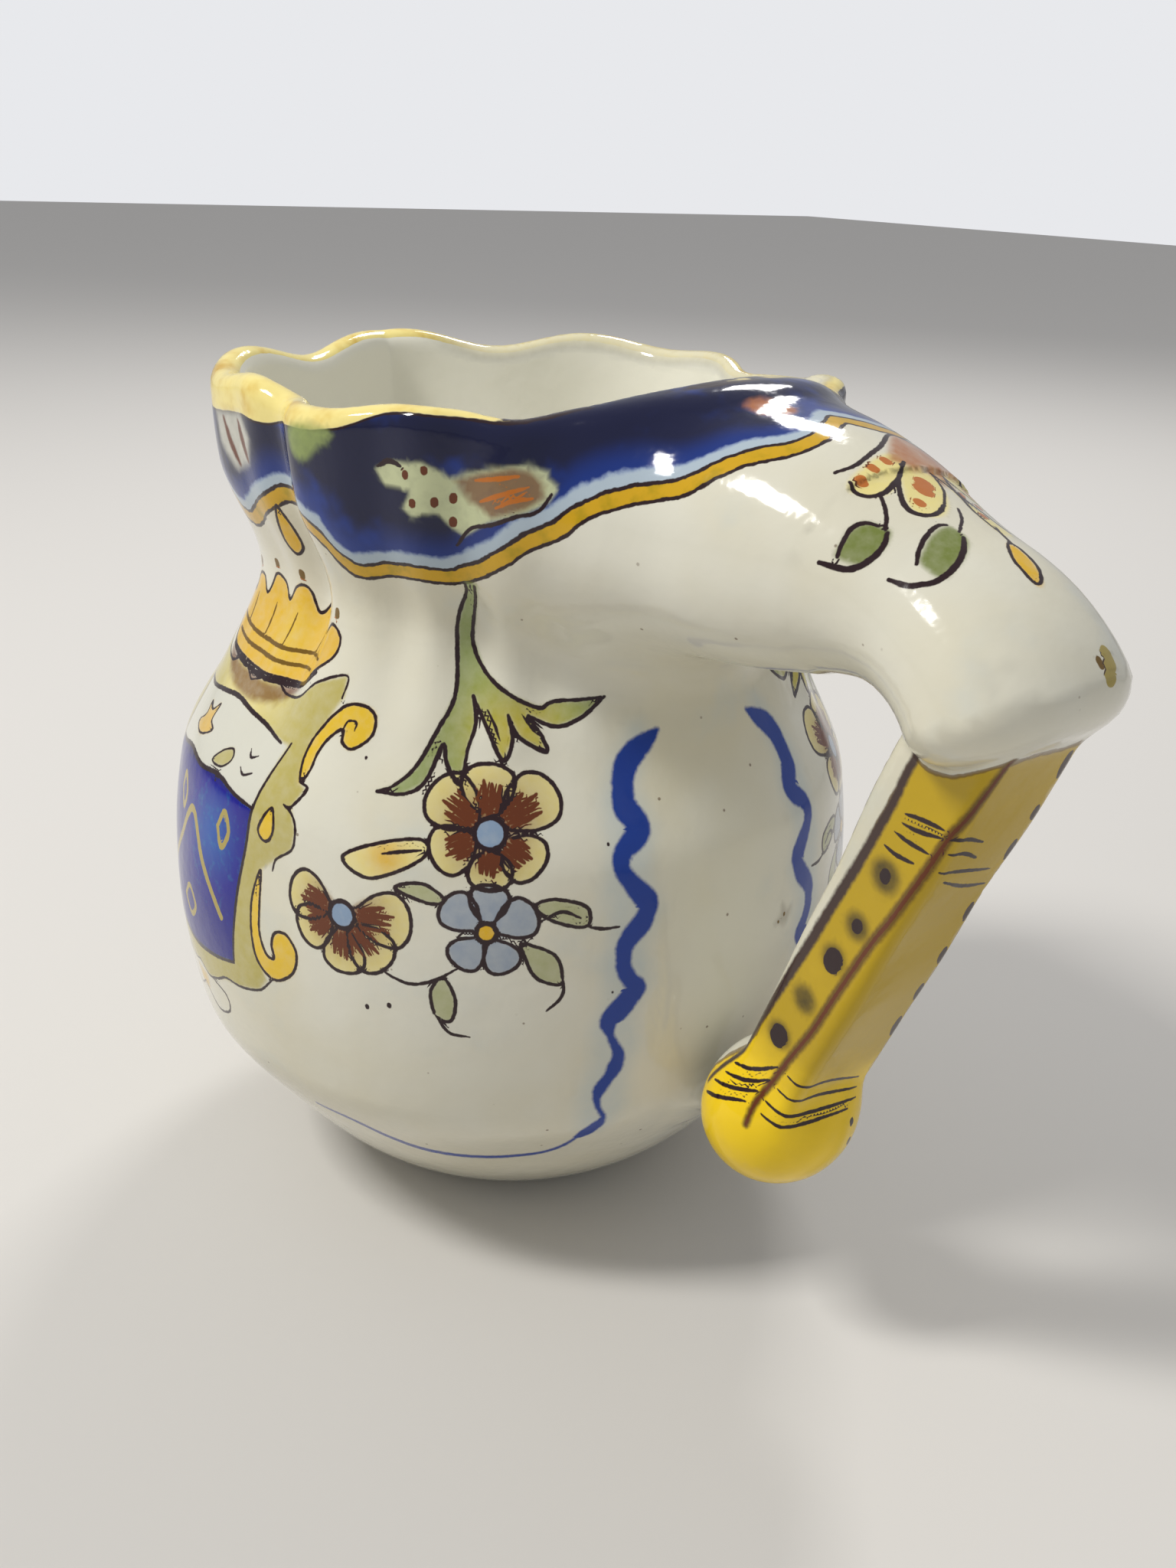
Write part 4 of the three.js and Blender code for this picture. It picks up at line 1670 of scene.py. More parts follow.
def shield() -> Motif:
    """A made-up shield in a scrolled frame.

    Returns:
        Its strokes and washes.
    """
    frame = closed((
        (0.0, 19.2), (4.3, 20.6), (7.5, 19.5), (11.0, 20.3), (13.7, 22.9), (17.7, 24.7), (18.6, 22.4),
        (17.6, 19.0), (17.0, 16.6), (18.5, 12.1), (19.7, 11.6), (19.1, 9.2), (20.7, 6.8), (20.6, 4.6),
        (18.5, 2.9), (16.0, 0.8), (15.1, -3.1), (15.4, -7.6), (16.6, -10.7), (17.5, -12.6), (16.0, -14.4),
        (12.2, -15.6), (8.7, -16.2), (6.0, -17.4), (3.0, -18.4), (0.0, -17.6),
    ))  # fmt: skip
    ground = closed((
        (0.0, 8.2), (5.0, 8.7), (9.5, 7.9), (13.6, 7.4), (13.3, 2.7), (12.4, -2.9), (11.8, -9.0),
        (11.5, -12.6), (6.3, -13.9), (0.0, -14.8),
    ))  # fmt: skip
    chief = closed((
        (0.0, 16.9), (5.0, 16.3), (10.0, 15.4), (13.9, 15.3), (13.7, 11.4), (13.6, 7.4), (0.0, 8.0),
    ))  # fmt: skip
    scroll = (
        (18.5, 12.1), (17.2, 14.6), (17.0, 17.0), (17.6, 18.8), (18.3, 20.2), (19.6, 21.7), (21.6, 21.9),
        (23.2, 20.9), (23.8, 18.9), (22.5, 17.1), (20.9, 17.6), (20.3, 19.0), (19.0, 17.6), (18.6, 15.8),
        (18.9, 13.6),
    )  # fmt: skip
    low_scroll = (
        (16.1, 0.8), (15.0, -3.0), (15.2, -7.4), (16.3, -10.6), (18.8, -12.0), (21.6, -10.3), (22.3, -7.6),
        (20.8, -5.7), (19.1, -5.9), (18.5, -7.4), (18.9, -9.2), (17.6, -9.0), (16.5, -6.6), (16.3, -3.0),
    )  # fmt: skip
    drop = ((16.5, 8.4), (17.5, 6.4), (17.2, 4.9), (16.2, 4.4), (15.2, 5.2), (15.5, 6.7))
    outlines = (
        ((-13.9, 15.3), (-10.0, 15.4), (-5.0, 16.3), (0.0, 16.9), (5.0, 16.3), (10.0, 15.4), (12.4, 15.1)),
        ((-13.6, 7.4), (-9.5, 7.9), (-5.0, 8.7), (0.0, 8.2), (5.0, 8.7), (9.5, 7.9), (13.6, 7.4)),
        ((11.5, -12.6), (6.3, -13.9), (0.0, -14.8), (-6.3, -13.9), (-11.5, -12.6)),
    )
    paired = (
        (0.46, ((14.2, 15.6), (13.8, 11.4), (13.6, 7.4), (13.3, 2.7), (12.4, -2.9), (11.8, -9.0),
                (11.5, -12.6))),
        (0.36, ((0.0, 19.2), (4.3, 20.6), (7.5, 19.5), (11.0, 20.3), (13.7, 22.9), (17.7, 24.7),
                (18.4, 22.2))),
        (0.4, ((18.5, 12.1), (19.9, 11.6), (19.1, 9.4), (18.2, 9.0))),
        (0.36, ((17.9, 9.2), (19.6, 8.4), (20.7, 6.8), (20.6, 4.6), (18.5, 2.9), (18.0, 1.3))),
        (0.36, ((18.4, -12.2), (16.0, -14.4), (12.2, -15.6), (8.7, -16.0), (6.0, -17.4), (3.0, -18.4),
                (0.0, -17.6))),
        (0.36, ((4.0, -18.2), (7.6, -19.0), (7.4, -21.4), (3.8, -22.8), (0.0, -20.8))),
        (0.3, ((20.3, 19.0), (20.5, 20.0), (21.5, 20.0), (21.7, 19.1))),
    )  # fmt: skip
    lines = each(outlines, 0.62, taper=0.4)
    lines += tuple(brushed(rows, width) for width, rows in paired)
    lines += tuple(brushed(mirrored(rows), width) for width, rows in paired)
    loops = (scroll, low_scroll, drop)
    shapes = tuple(np.array(way) for rows in loops for way in (rows, mirrored(rows)))
    lines += tuple(outlined(shape, 0.4) for shape in shapes)
    chevron = ((-9.2, -7.6), (-4.6, -2.6), (0.0, 2.6), (4.6, -2.6), (9.2, -7.6))
    lozenges = (
        ((-5.6, 3.4), (-4.4, 5.6), (-3.2, 3.4), (-4.4, 1.2), (-5.6, 3.4)),
        ((7.4, 3.2), (8.6, 5.4), (9.8, 3.2), (8.6, 1.0), (7.4, 3.2)),
        ((-1.9, -9.2), (0.0, -7.3), (1.9, -9.2), (0.0, -11.1), (-1.9, -9.2)),
    )
    lines += (brushed(chevron, 1.0, Tone.GOLD, 0.15), *each(lozenges, 0.7, Tone.GOLD, 0.15))
    sprig = (
        (-7.6, 11.2), (-6.2, 12.6), (-6.8, 14.2), (-5.0, 13.6), (-3.6, 14.8), (-3.4, 12.8), (-1.6, 12.0),
        (-4.6, 10.6),
    )  # fmt: skip
    leaflet = ((2.2, 9.6), (3.4, 11.2), (5.2, 12.0), (6.0, 10.8), (4.6, 9.6))
    notes = (((8.0, 13.0), (8.9, 12.2), (10.0, 12.7)), ((8.2, 10.8), (9.4, 10.2), (10.8, 10.8)))
    lines += each(notes, 0.34, taper=0.5)
    lines += (outlined(sprig, 0.3), outlined(leaflet, 0.3))
    foot = ((-2.0, -19.0), (2.0, -19.0), (1.4, -21.2), (-1.4, -21.2))
    fills = (
        Wash(np.array(frame), OLIVE, 0.85, heart=Heart((0.0, 18.0), PALE_YELLOW, 9.0)),
        Wash(np.array(chief), WHITE, 1.0, 0.3),
        Wash(np.array(ground), COBALT_WASH, 1.2, 0.3, Heart((6.0, 2.0), COBALT_THIN, 6.0)),
        *(Wash(loop(shape), SCROLL_YELLOW, 0.97) for shape in shapes),
        Wash(loop(sprig), YELLOW, 0.8),
        Wash(loop(leaflet), OLIVE, 0.8),
        Wash(np.array(foot), YELLOW, 0.8, 0.6),
    )
    return Drawing(BagChart((-9.0, 50.0)), lines, fills)


def crest() -> Motif:
    """A plain leafy crest over the shield.

    Returns:
        Its strokes and washes.
    """
    body = closed((
        (0.0, 8.6), (1.4, 10.4), (3.4, 10.9), (5.2, 8.2), (7.0, 9.9), (9.2, 9.6), (10.4, 7.3), (12.4, 8.9),
        (14.6, 7.9), (14.5, 5.6), (11.6, 3.0), (9.5, 0.9), (4.5, 0.3), (0.0, 0.1),
    ))  # fmt: skip
    cap = closed(((0.0, -0.6), (5.0, -0.5), (9.6, 0.4), (7.6, -1.6), (4.0, -2.9), (0.0, -3.2)))
    ribs = (
        ((-9.8, 2.6), (-5.0, 2.0), (0.0, 1.9), (5.0, 2.0), (9.8, 2.6)),
        ((-11.4, 4.4), (-5.0, 3.6), (0.0, 3.4), (5.0, 3.6), (11.4, 4.4)),
    )
    veins = tuple(((u, 3.8), (u * 1.05, 7.6)) for u in (-7.6, -2.4, 2.4, 7.6))
    tips = ((-13.2, 10.3), (-8.4, 11.4), (-2.9, 12.3), (2.9, 12.3), (8.4, 11.4), (13.2, 10.3))
    hem = ((-9.6, 0.6), (-4.5, -0.2), (0.0, -0.4), (4.5, -0.2), (9.6, 0.6), (12.6, 3.2))
    lines = (outlined(body, 0.4), *each(veins, 0.3, Tone.OLIVE, 0.4))
    lines += dabs(tips, 1.0, Tone.OLIVE) + each(ribs, 0.55, Tone.OLIVE, 0.3)
    lines += (brushed(hem, 0.7, taper=0.4),)
    fills = (
        Wash(loop(cap), RUST_WASH, 0.75, 0.5),
        Wash(loop(body), YELLOW, 0.9, heart=Heart((3.0, 5.0), SCROLL_YELLOW, 4.0)),
    )
    return Drawing(BagChart((-9.0, 69.0)), lines, fills)


def pinholes() -> list[Motif]:
    """Small holes, iron spots, a scuff and a chip in the glaze.

    Returns:
        Its motifs.
    """
    chart = BagChart((35.0, 39.0))
    spots = dabs(((-1.4, -0.5), (1.3, 0.3)), 0.55, Tone.INK)
    spots += dabs(((24.0, 20.0), (-4.0, 27.5), (26.0, 3.0), (-27.0, 19.0)), 0.34, Tone.INK)
    belly = BagChart((101.4, 45.7))
    scuff = np.array((
        (-1.8, -0.6), (-0.6, 0.2), (-0.2, 1.9), (0.7, 0.5), (2.0, 0.9), (1.0, -0.6), (0.3, -1.6),
        (-0.5, -0.9),
    ))  # fmt: skip
    marks = dabs(((0.2, 0.1), (-0.9, -0.5)), 0.42, Tone.OLIVE)
    chip = dabs(((-2.4, 47.8), (-3.2, 47.2)), 1.7, Tone.GOLD) + dabs(((-1.5, 47.3),), 0.8, Tone.OLIVE)
    return [
        Drawing(chart, spots),
        Drawing(belly, marks, (Wash(scuff, BARE_CLAY, 0.6, edge=0.5),)),
        Drawing(ArmChart(), chip),
    ]


# Laying the paint on vertices


@dataclass
class Track:
    """Samples of all strokes of one breadth, ready to be searched."""

    points: list[Array] = field(default_factory=list)
    widths: list[Array] = field(default_factory=list)
    tones: list[Array] = field(default_factory=list)
    tied: list[Array] = field(default_factory=list)

    def add(self, samples: Array, stroke: Stroke) -> None:
        """Takes in the samples of one stroke.

        Args:
            samples: Points on the surface.
            stroke: The stroke they belong to.
        """
        s = np.linspace(-1, 1, len(samples))
        self.points.append(samples)
        shape = 1 - stroke.taper * np.abs(s) ** 2.2
        if stroke.profile is not None:
            shape = np.interp(s, np.linspace(-1, 1, len(stroke.profile)), stroke.profile)
        self.widths.append(stroke.width / 2 * shape)
        self.tones.append(np.full(len(samples), stroke.tone.value))
        tied = np.ones(len(samples), bool)
        tied[-1] = False
        self.tied.append(tied)

    def nearest(self, p: Array) -> tuple[Array, Array, Array]:
        """Way from points to the nearest place on a stroke.

        Args:
            p: Points on the surface.

        Returns:
            Offsets, half widths of the stroke and tones.
        """
        points, widths = np.vstack(self.points), np.concatenate(self.widths)
        tones, tied = np.concatenate(self.tones), np.concatenate(self.tied)
        tree = KDTree(len(points))
        for i, point in enumerate(points):
            tree.insert(point, i)
        tree.balance()
        index = np.array([tree.find(q)[1] for q in p.tolist()])
        best = points[index] - p
        size = (best * best).sum(1)
        for step in (-1, 0):
            a = np.clip(index + step, 0, len(points) - 2)
            joined = tied[a]
            run = points[a + 1] - points[a]
            t = ((p - points[a]) * run).sum(1) / np.maximum((run * run).sum(1), 1e-9)
            t = np.clip(t, 0, 1)[:, None]
            offset = points[a] + run * t - p
            closer = joined & ((offset * offset).sum(1) < size)
            best[closer] = offset[closer]
            size = (best * best).sum(1)
        return best, widths[index], tones[index]


@dataclass(frozen=True)
class Grading:
    """Length of edges that grows with the distance from what needs a fine net."""

    least: float
    start: float
    growth: float

    def at(self, distance: Array) -> Array:
        """Length of an edge at each distance."""
        return np.maximum(self.least, self.start + self.growth * distance)


@dataclass
class Painter:
    """Turns motifs into values on the vertices of a skin."""

    form: JugForm
    motifs: list[Motif]
    line_net: Grading = Grading(0.46, 0.30, 1.0)
    broad_net: Grading = Grading(0.8, 0.45, 0.9)
    form_net: Grading = Grading(1.1, 1.1, 0.6)
    rim_middle: float = 2.0
    rim_reach: float = 5.0
    sample_step: float = 0.13
    wash_reach: float = 10.0
    fine: Track = field(default_factory=Track)
    broad: Track = field(default_factory=Track)

    def lay_strokes(self) -> None:
        """Lifts every stroke onto the surface."""
        for motif in self.motifs:
            for stroke in motif.strokes():
                samples = self.form.project(motif.chart.lift(np.asarray(stroke.points, float)), 3)
                even = curve_through(samples, self.sample_step) if len(samples) < 12 else samples
                (self.broad if stroke.broad else self.fine).add(even, stroke)

    def wanted(self, p: Array) -> Array:
        """Longest edge allowed around each vertex.

        Args:
            p: Vertices.

        Returns:
            Edge lengths.
        """
        fine, width, _ = self.fine.nearest(p)
        away = np.maximum(np.linalg.norm(fine, axis=1) - width, 0.0)
        broad, width, _ = self.broad.nearest(p)
        off = np.abs(np.linalg.norm(broad, axis=1) - width)
        descent = self.form.bag.rim(polar(p)[0]) - p[:, 2]
        near_line = np.minimum(self.line_net.at(away), self.broad_net.at(off))
        near_rim = self.form_net.at(np.abs(descent - self.rim_middle) - self.rim_reach)
        near_pipe = self.form_net.at(np.abs(self.form.pipe.distance(p)))
        return np.minimum(np.minimum(near_line, near_rim), near_pipe)

    def washed(self, p: Array) -> Array:
        """Colour and strength of the washes.

        Args:
            p: Vertices.

        Returns:
            Rows of red, green, blue and strength.
        """
        colour, cover = np.zeros((len(p), 3)), np.zeros(len(p))
        for motif in self.motifs:
            washes = motif.washes()
            if not washes:
                continue
            uv = motif.chart.flatten(p)
            for wash in washes:
                low, high = wash.outline.min(0) - 1.0, wash.outline.max(0) + 1.0
                rows = np.flatnonzero(((uv > low) & (uv < high)).all(1))
                if not len(rows):
                    continue
                place = uv[rows]
                depth = outline_distance(place, wash.outline)
                alpha = wash.strength * smooth(wash.edge, -wash.edge, depth)
                away = np.linalg.norm(motif.chart.lift(place) - p[rows], axis=1)
                alpha = alpha * smooth(self.wash_reach, 0.7 * self.wash_reach, away)
                tint = np.tile(np.array(wash.colour), (len(rows), 1))
                if wash.heart is not None:
                    from_heart = np.linalg.norm(place - np.array(wash.heart.place), axis=1)
                    near = bell(from_heart, wash.heart.reach)[:, None]
                    tint = tint * (1 - near) + np.array(wash.heart.colour) * near
                total = alpha + cover[rows] * (1 - alpha)
                share = (alpha / np.maximum(total, 1e-6))[:, None]
                colour[rows] = tint * share + colour[rows] * (1 - share)
                cover[rows] = total
        return np.concatenate([colour, cover[:, None]], 1)


def outline_distance(p: Array, outline: Array) -> Array:
    """Signed distance from a closed outline.

    Args:
        p: Places, rows of u and v.
        outline: Outline points.

    Returns:
        Distance, negative inside.
    """
    a, b = outline, np.roll(outline, -1, axis=0)
    run = b - a
    away = p[:, None, :] - a
    t = np.clip((away * run).sum(-1) / np.maximum((run * run).sum(-1), 1e-9), 0, 1)
    gap = away - run * t[..., None]
    distance = np.sqrt((gap * gap).sum(-1).min(1))
    crosses = (a[:, 1] > p[:, 1, None]) != (b[:, 1] > p[:, 1, None])
    rise = np.where(np.abs(run[:, 1]) < 1e-12, 1e-12, run[:, 1])
    at = a[:, 0] + (p[:, 1, None] - a[:, 1]) / rise * run[:, 0]
    inside = (crosses & (p[:, 0, None] < at)).sum(1) % 2 == 1
    return np.where(inside, -distance, distance)


# Shader nodes


@dataclass(frozen=True)
class Patches:
    """Soft patches cut out of noise, which fade in between two of its values."""

    scale: float
    detail: float
    start: float
    end: float


class Board:
    """Short way to place and join shader nodes."""

    def __init__(self, tree: bpy.types.NodeTree) -> None:
        """Starts on an empty tree.

        Args:
            tree: The node tree to work on.
        """
        self.tree = tree
        tree.nodes.clear()
        self.count = 0

    def node(
        self, kind: str, settings: dict[str, object] | None = None, **inputs: object
    ) -> bpy.types.Node:
        """Adds a node.

        Args:
            kind: Blender's name of the node type.
            settings: Properties of the node.
            inputs: Values or sockets for its inputs, named with _ for a space.

        Returns:
            The node.
        """
        made = self.tree.nodes.new(kind)
        made.location = (220 * (self.count % 12), -260 * (self.count // 12))
        self.count += 1
        for name, value in (settings or {}).items():
            setattr(made, name, value)
        for name, value in inputs.items():
            key = int(name[1:]) if name[0] == "i" and name[1:].isdigit() else name.replace("_", " ")
            socket = made.inputs[key]
            if isinstance(value, Socket):
                self.link(value, socket)
            elif socket.type == "RGBA":
                socket.default_value = (*value, 1.0)
            else:
                socket.default_value = value
        return made

    def link(self, source: Socket, target: Socket) -> None:
        """Joins an output to an input."""
        self.tree.links.new(source, target)

    def math(
        self, operation: str, a: object, b: object = 0.0, clamp: bool = False, c: object = 0.0
    ) -> Socket:
        """Adds a Math node."""
        settings = {"operation": operation, "use_clamp": clamp}
        return self.node("ShaderNodeMath", settings, i0=a, i1=b, i2=c).outputs[0]

    def times(self, a: object, b: object) -> Socket:
        """Multiplies two values."""
        return self.math("MULTIPLY", a, b)

    def plus(self, a: object, b: object) -> Socket:
        """Adds two values."""
        return self.math("ADD", a, b)

    def minus(self, a: object, b: object) -> Socket:
        """Takes the second value from the first."""
        return self.math("SUBTRACT", a, b)

    def away(self, value: object, middle: object = 0.0) -> Socket:
        """How far a value is from a middle, on either side."""
        shifted = self.minus(value, middle) if middle else value
        return self.math("ABSOLUTE", shifted)

    def sway(self, scale: float, detail: float, width: float) -> Socket:
        """Noise that goes to either side of 0."""
        return self.times(self.minus(self.noise(scale, detail), 0.5), width)

    def patches(self, shape: Patches) -> Socket:
        """Mask of soft patches."""
        return self.ramp(self.noise(shape.scale, shape.detail), shape.start, shape.end)

    def split(self, vector: Socket) -> bpy.types.bpy_prop_collection:
        """Parts of a vector, by the names X, Y and Z."""
        return self.node("ShaderNodeSeparateXYZ", None, Vector=vector).outputs

    def group(self, tree: bpy.types.NodeTree, **inputs: object) -> bpy.types.bpy_prop_collection:
        """Adds a node group."""
        return self.node("ShaderNodeGroup", {"node_tree": tree}, **inputs).outputs

    def ramp(self, value: object, start: object, end: object) -> Socket:
        """Adds a smooth step.

        Args:
            value: What is read.
            start: Where the result is 0.
            end: Where the result is 1.

        Returns:
            The step's height.
        """
        settings = {"interpolation_type": "SMOOTHSTEP"}
        made = self.node("ShaderNodeMapRange", settings, Value=value, From_Min=start, From_Max=end)
        return made.outputs[0]

    def mix(self, share: object, a: object, b: object) -> Socket:
        """Mixes two colours."""
        made = self.node("ShaderNodeMix", {"data_type": "RGBA"}, i0=share, i6=a, i7=b)
        return made.outputs[2]

    def attribute(self, name: str) -> bpy.types.bpy_prop_collection:
        """Outputs that give the mesh attribute of a name."""
        return self.node("ShaderNodeAttribute", {"attribute_name": name}).outputs

    def place(self) -> Socket:
        """Reads the place on the object."""
        return self.node("ShaderNodeTexCoord").outputs["Object"]

    def noise(self, scale: float, detail: float = 3.0, rough: float = 0.55) -> Socket:
        """Adds noise that follows the object."""
        settings = {"Vector": self.place(), "Scale": scale, "Detail": detail, "Roughness": rough}
        return self.node("ShaderNodeTexNoise", None, **settings).outputs["Fac"]


def new_group(
    name: str, inputs: dict[str, str], outputs: dict[str, str]
) -> tuple[Board, bpy.types.bpy_prop_collection, bpy.types.bpy_prop_collection]:
    """Makes an empty shader node group.

    Args:
        name: Name of the group.
        inputs: Input names and their socket types.
        outputs: Output names and their socket types.

    Returns:
        The board of the group, the sockets it reads and the sockets it fills.
    """
    tree = bpy.data.node_groups.new(name, "ShaderNodeTree")
    board = Board(tree)
    for names, side in ((inputs, "INPUT"), (outputs, "OUTPUT")):
        for socket, kind in names.items():
            tree.interface.new_socket(name=socket, in_out=side, socket_type=kind)
    return board, tree.nodes.new("NodeGroupInput").outputs, tree.nodes.new("NodeGroupOutput").inputs


FLOAT = "NodeSocketFloat"
VECTOR = "NodeSocketVector"
COLOUR = "NodeSocketColor"


# How far past its width a stroke counts as near, in millimetres.
NEAR_START = 0.30
NEAR_FULL = 0.16


def brush_group() -> bpy.types.NodeTree:
    """Group that turns the way to the nearest stroke into a brush line.

    Returns:
        The group.
    """
    inputs = {"Offset": VECTOR, "Stroke": VECTOR, "Wobble": FLOAT, "Soft": FLOAT}
    board, given, out = new_group("BrushLine", inputs, {"Mask": FLOAT})
    size = board.node("ShaderNodeVectorMath", {"operation": "LENGTH"}, i0=given["Offset"]).outputs["Value"]
    stroke = board.split(given["Stroke"])
    noise = board.minus(board.noise(1500.0, 2.0), 0.5)
    width = board.plus(stroke["Y"], board.times(noise, given["Wobble"]))
    line = board.ramp(size, board.plus(width, given["Soft"]), board.minus(width, given["Soft"]))
    near = board.ramp(stroke["X"], board.plus(width, NEAR_START), board.plus(width, NEAR_FULL))
    board.link(board.times(line, near), out["Mask"])
    return board.tree


CLOUDS = Patches(38.0, 3.0, 0.36, 0.68)
COOL_CLOUDS = Patches(75.0, 4.0, 0.52, 0.78)
SPECK_CELLS = 420.0


def glaze_group() -> bpy.types.NodeTree:
    """Group for the milky tin glaze: its clouds, specks, pinholes and ripples.

    Returns:
        The group.
    """
    inputs = {"White": COLOUR, "Cream": COLOUR, "Cool": COLOUR}
    board, given, out = new_group("TinGlaze", inputs, {"Colour": COLOUR, "Specks": FLOAT, "Ripple": FLOAT})
    colour = board.mix(board.patches(CLOUDS), given["White"], given["Cream"])
    colour = board.mix(board.times(board.patches(COOL_CLOUDS), 0.5), colour, given["Cool"])
    board.link(colour, out["Colour"])
    cells = board.node("ShaderNodeTexVoronoi", None, Vector=board.place(), Scale=SPECK_CELLS).outputs
    chosen = board.ramp(board.split(cells["Color"])["X"], 0.80, 0.86)
    dot = board.ramp(cells["Distance"], 0.10, 0.05)
    board.link(board.times(chosen, dot), out["Specks"])
    ripple = board.plus(board.noise(420.0, 2.0), board.times(board.noise(110.0, 2.0), 2.0))
    board.link(ripple, out["Ripple"])
    return board.tree


# Where the dark lines of the band begin and are full, in millimetres from their middle.
LINE_SOFT = (0.27, 0.15)
LIP_LINE_SOFT = (0.3, 0.16)


def band_group() -> bpy.types.NodeTree:
    """Group that layers the rim band: ribbon, its lines, pale edge, cobalt and lip.

    Returns:
        The group.
    """
    inputs = {"Band": FLOAT, "Lip": FLOAT, "Outer": FLOAT, "Ribbon": FLOAT}
    outputs = {"Ribbon": FLOAT, "Line": FLOAT, "Halo": FLOAT, "Cobalt": FLOAT, "Lip": FLOAT}
    board, given, out = new_group("RimBand", inputs, outputs)
    sway = board.sway(260.0, 3.0, 0.9)
    height = board.plus(given["Band"], sway)
    fine = board.sway(1300.0, 2.0, 0.28)
    half = board.times(given["Ribbon"], 0.5)
    away = board.away(height)
    outside = board.ramp(given["Outer"], 0.2, 0.9)
    lip_place = board.plus(given["Lip"], board.times(sway, 0.6))
    lip = board.ramp(lip_place, 0.08, -0.08)
    below = board.times(board.minus(1.0, lip), outside)
    ribbon = board.ramp(away, board.plus(half, 0.06), board.minus(half, 0.06))
    line = board.ramp(board.away(board.plus(away, fine), half), *LINE_SOFT)
    under_lip = board.ramp(board.away(lip_place, 0.05), *LIP_LINE_SOFT)
    inside_band = board.ramp(height, half, board.plus(half, 0.1))
    cobalt = board.ramp(board.plus(height, board.times(fine, 2.0)), 2.0, 2.7)
    line = board.math("MAXIMUM", line, board.times(under_lip, inside_band))
    for name, value in (("Ribbon", ribbon), ("Line", line), ("Halo", inside_band), ("Cobalt", cobalt)):
        board.link(board.times(value, below), out[name])
    board.link(lip, out["Lip"])
    return board.tree


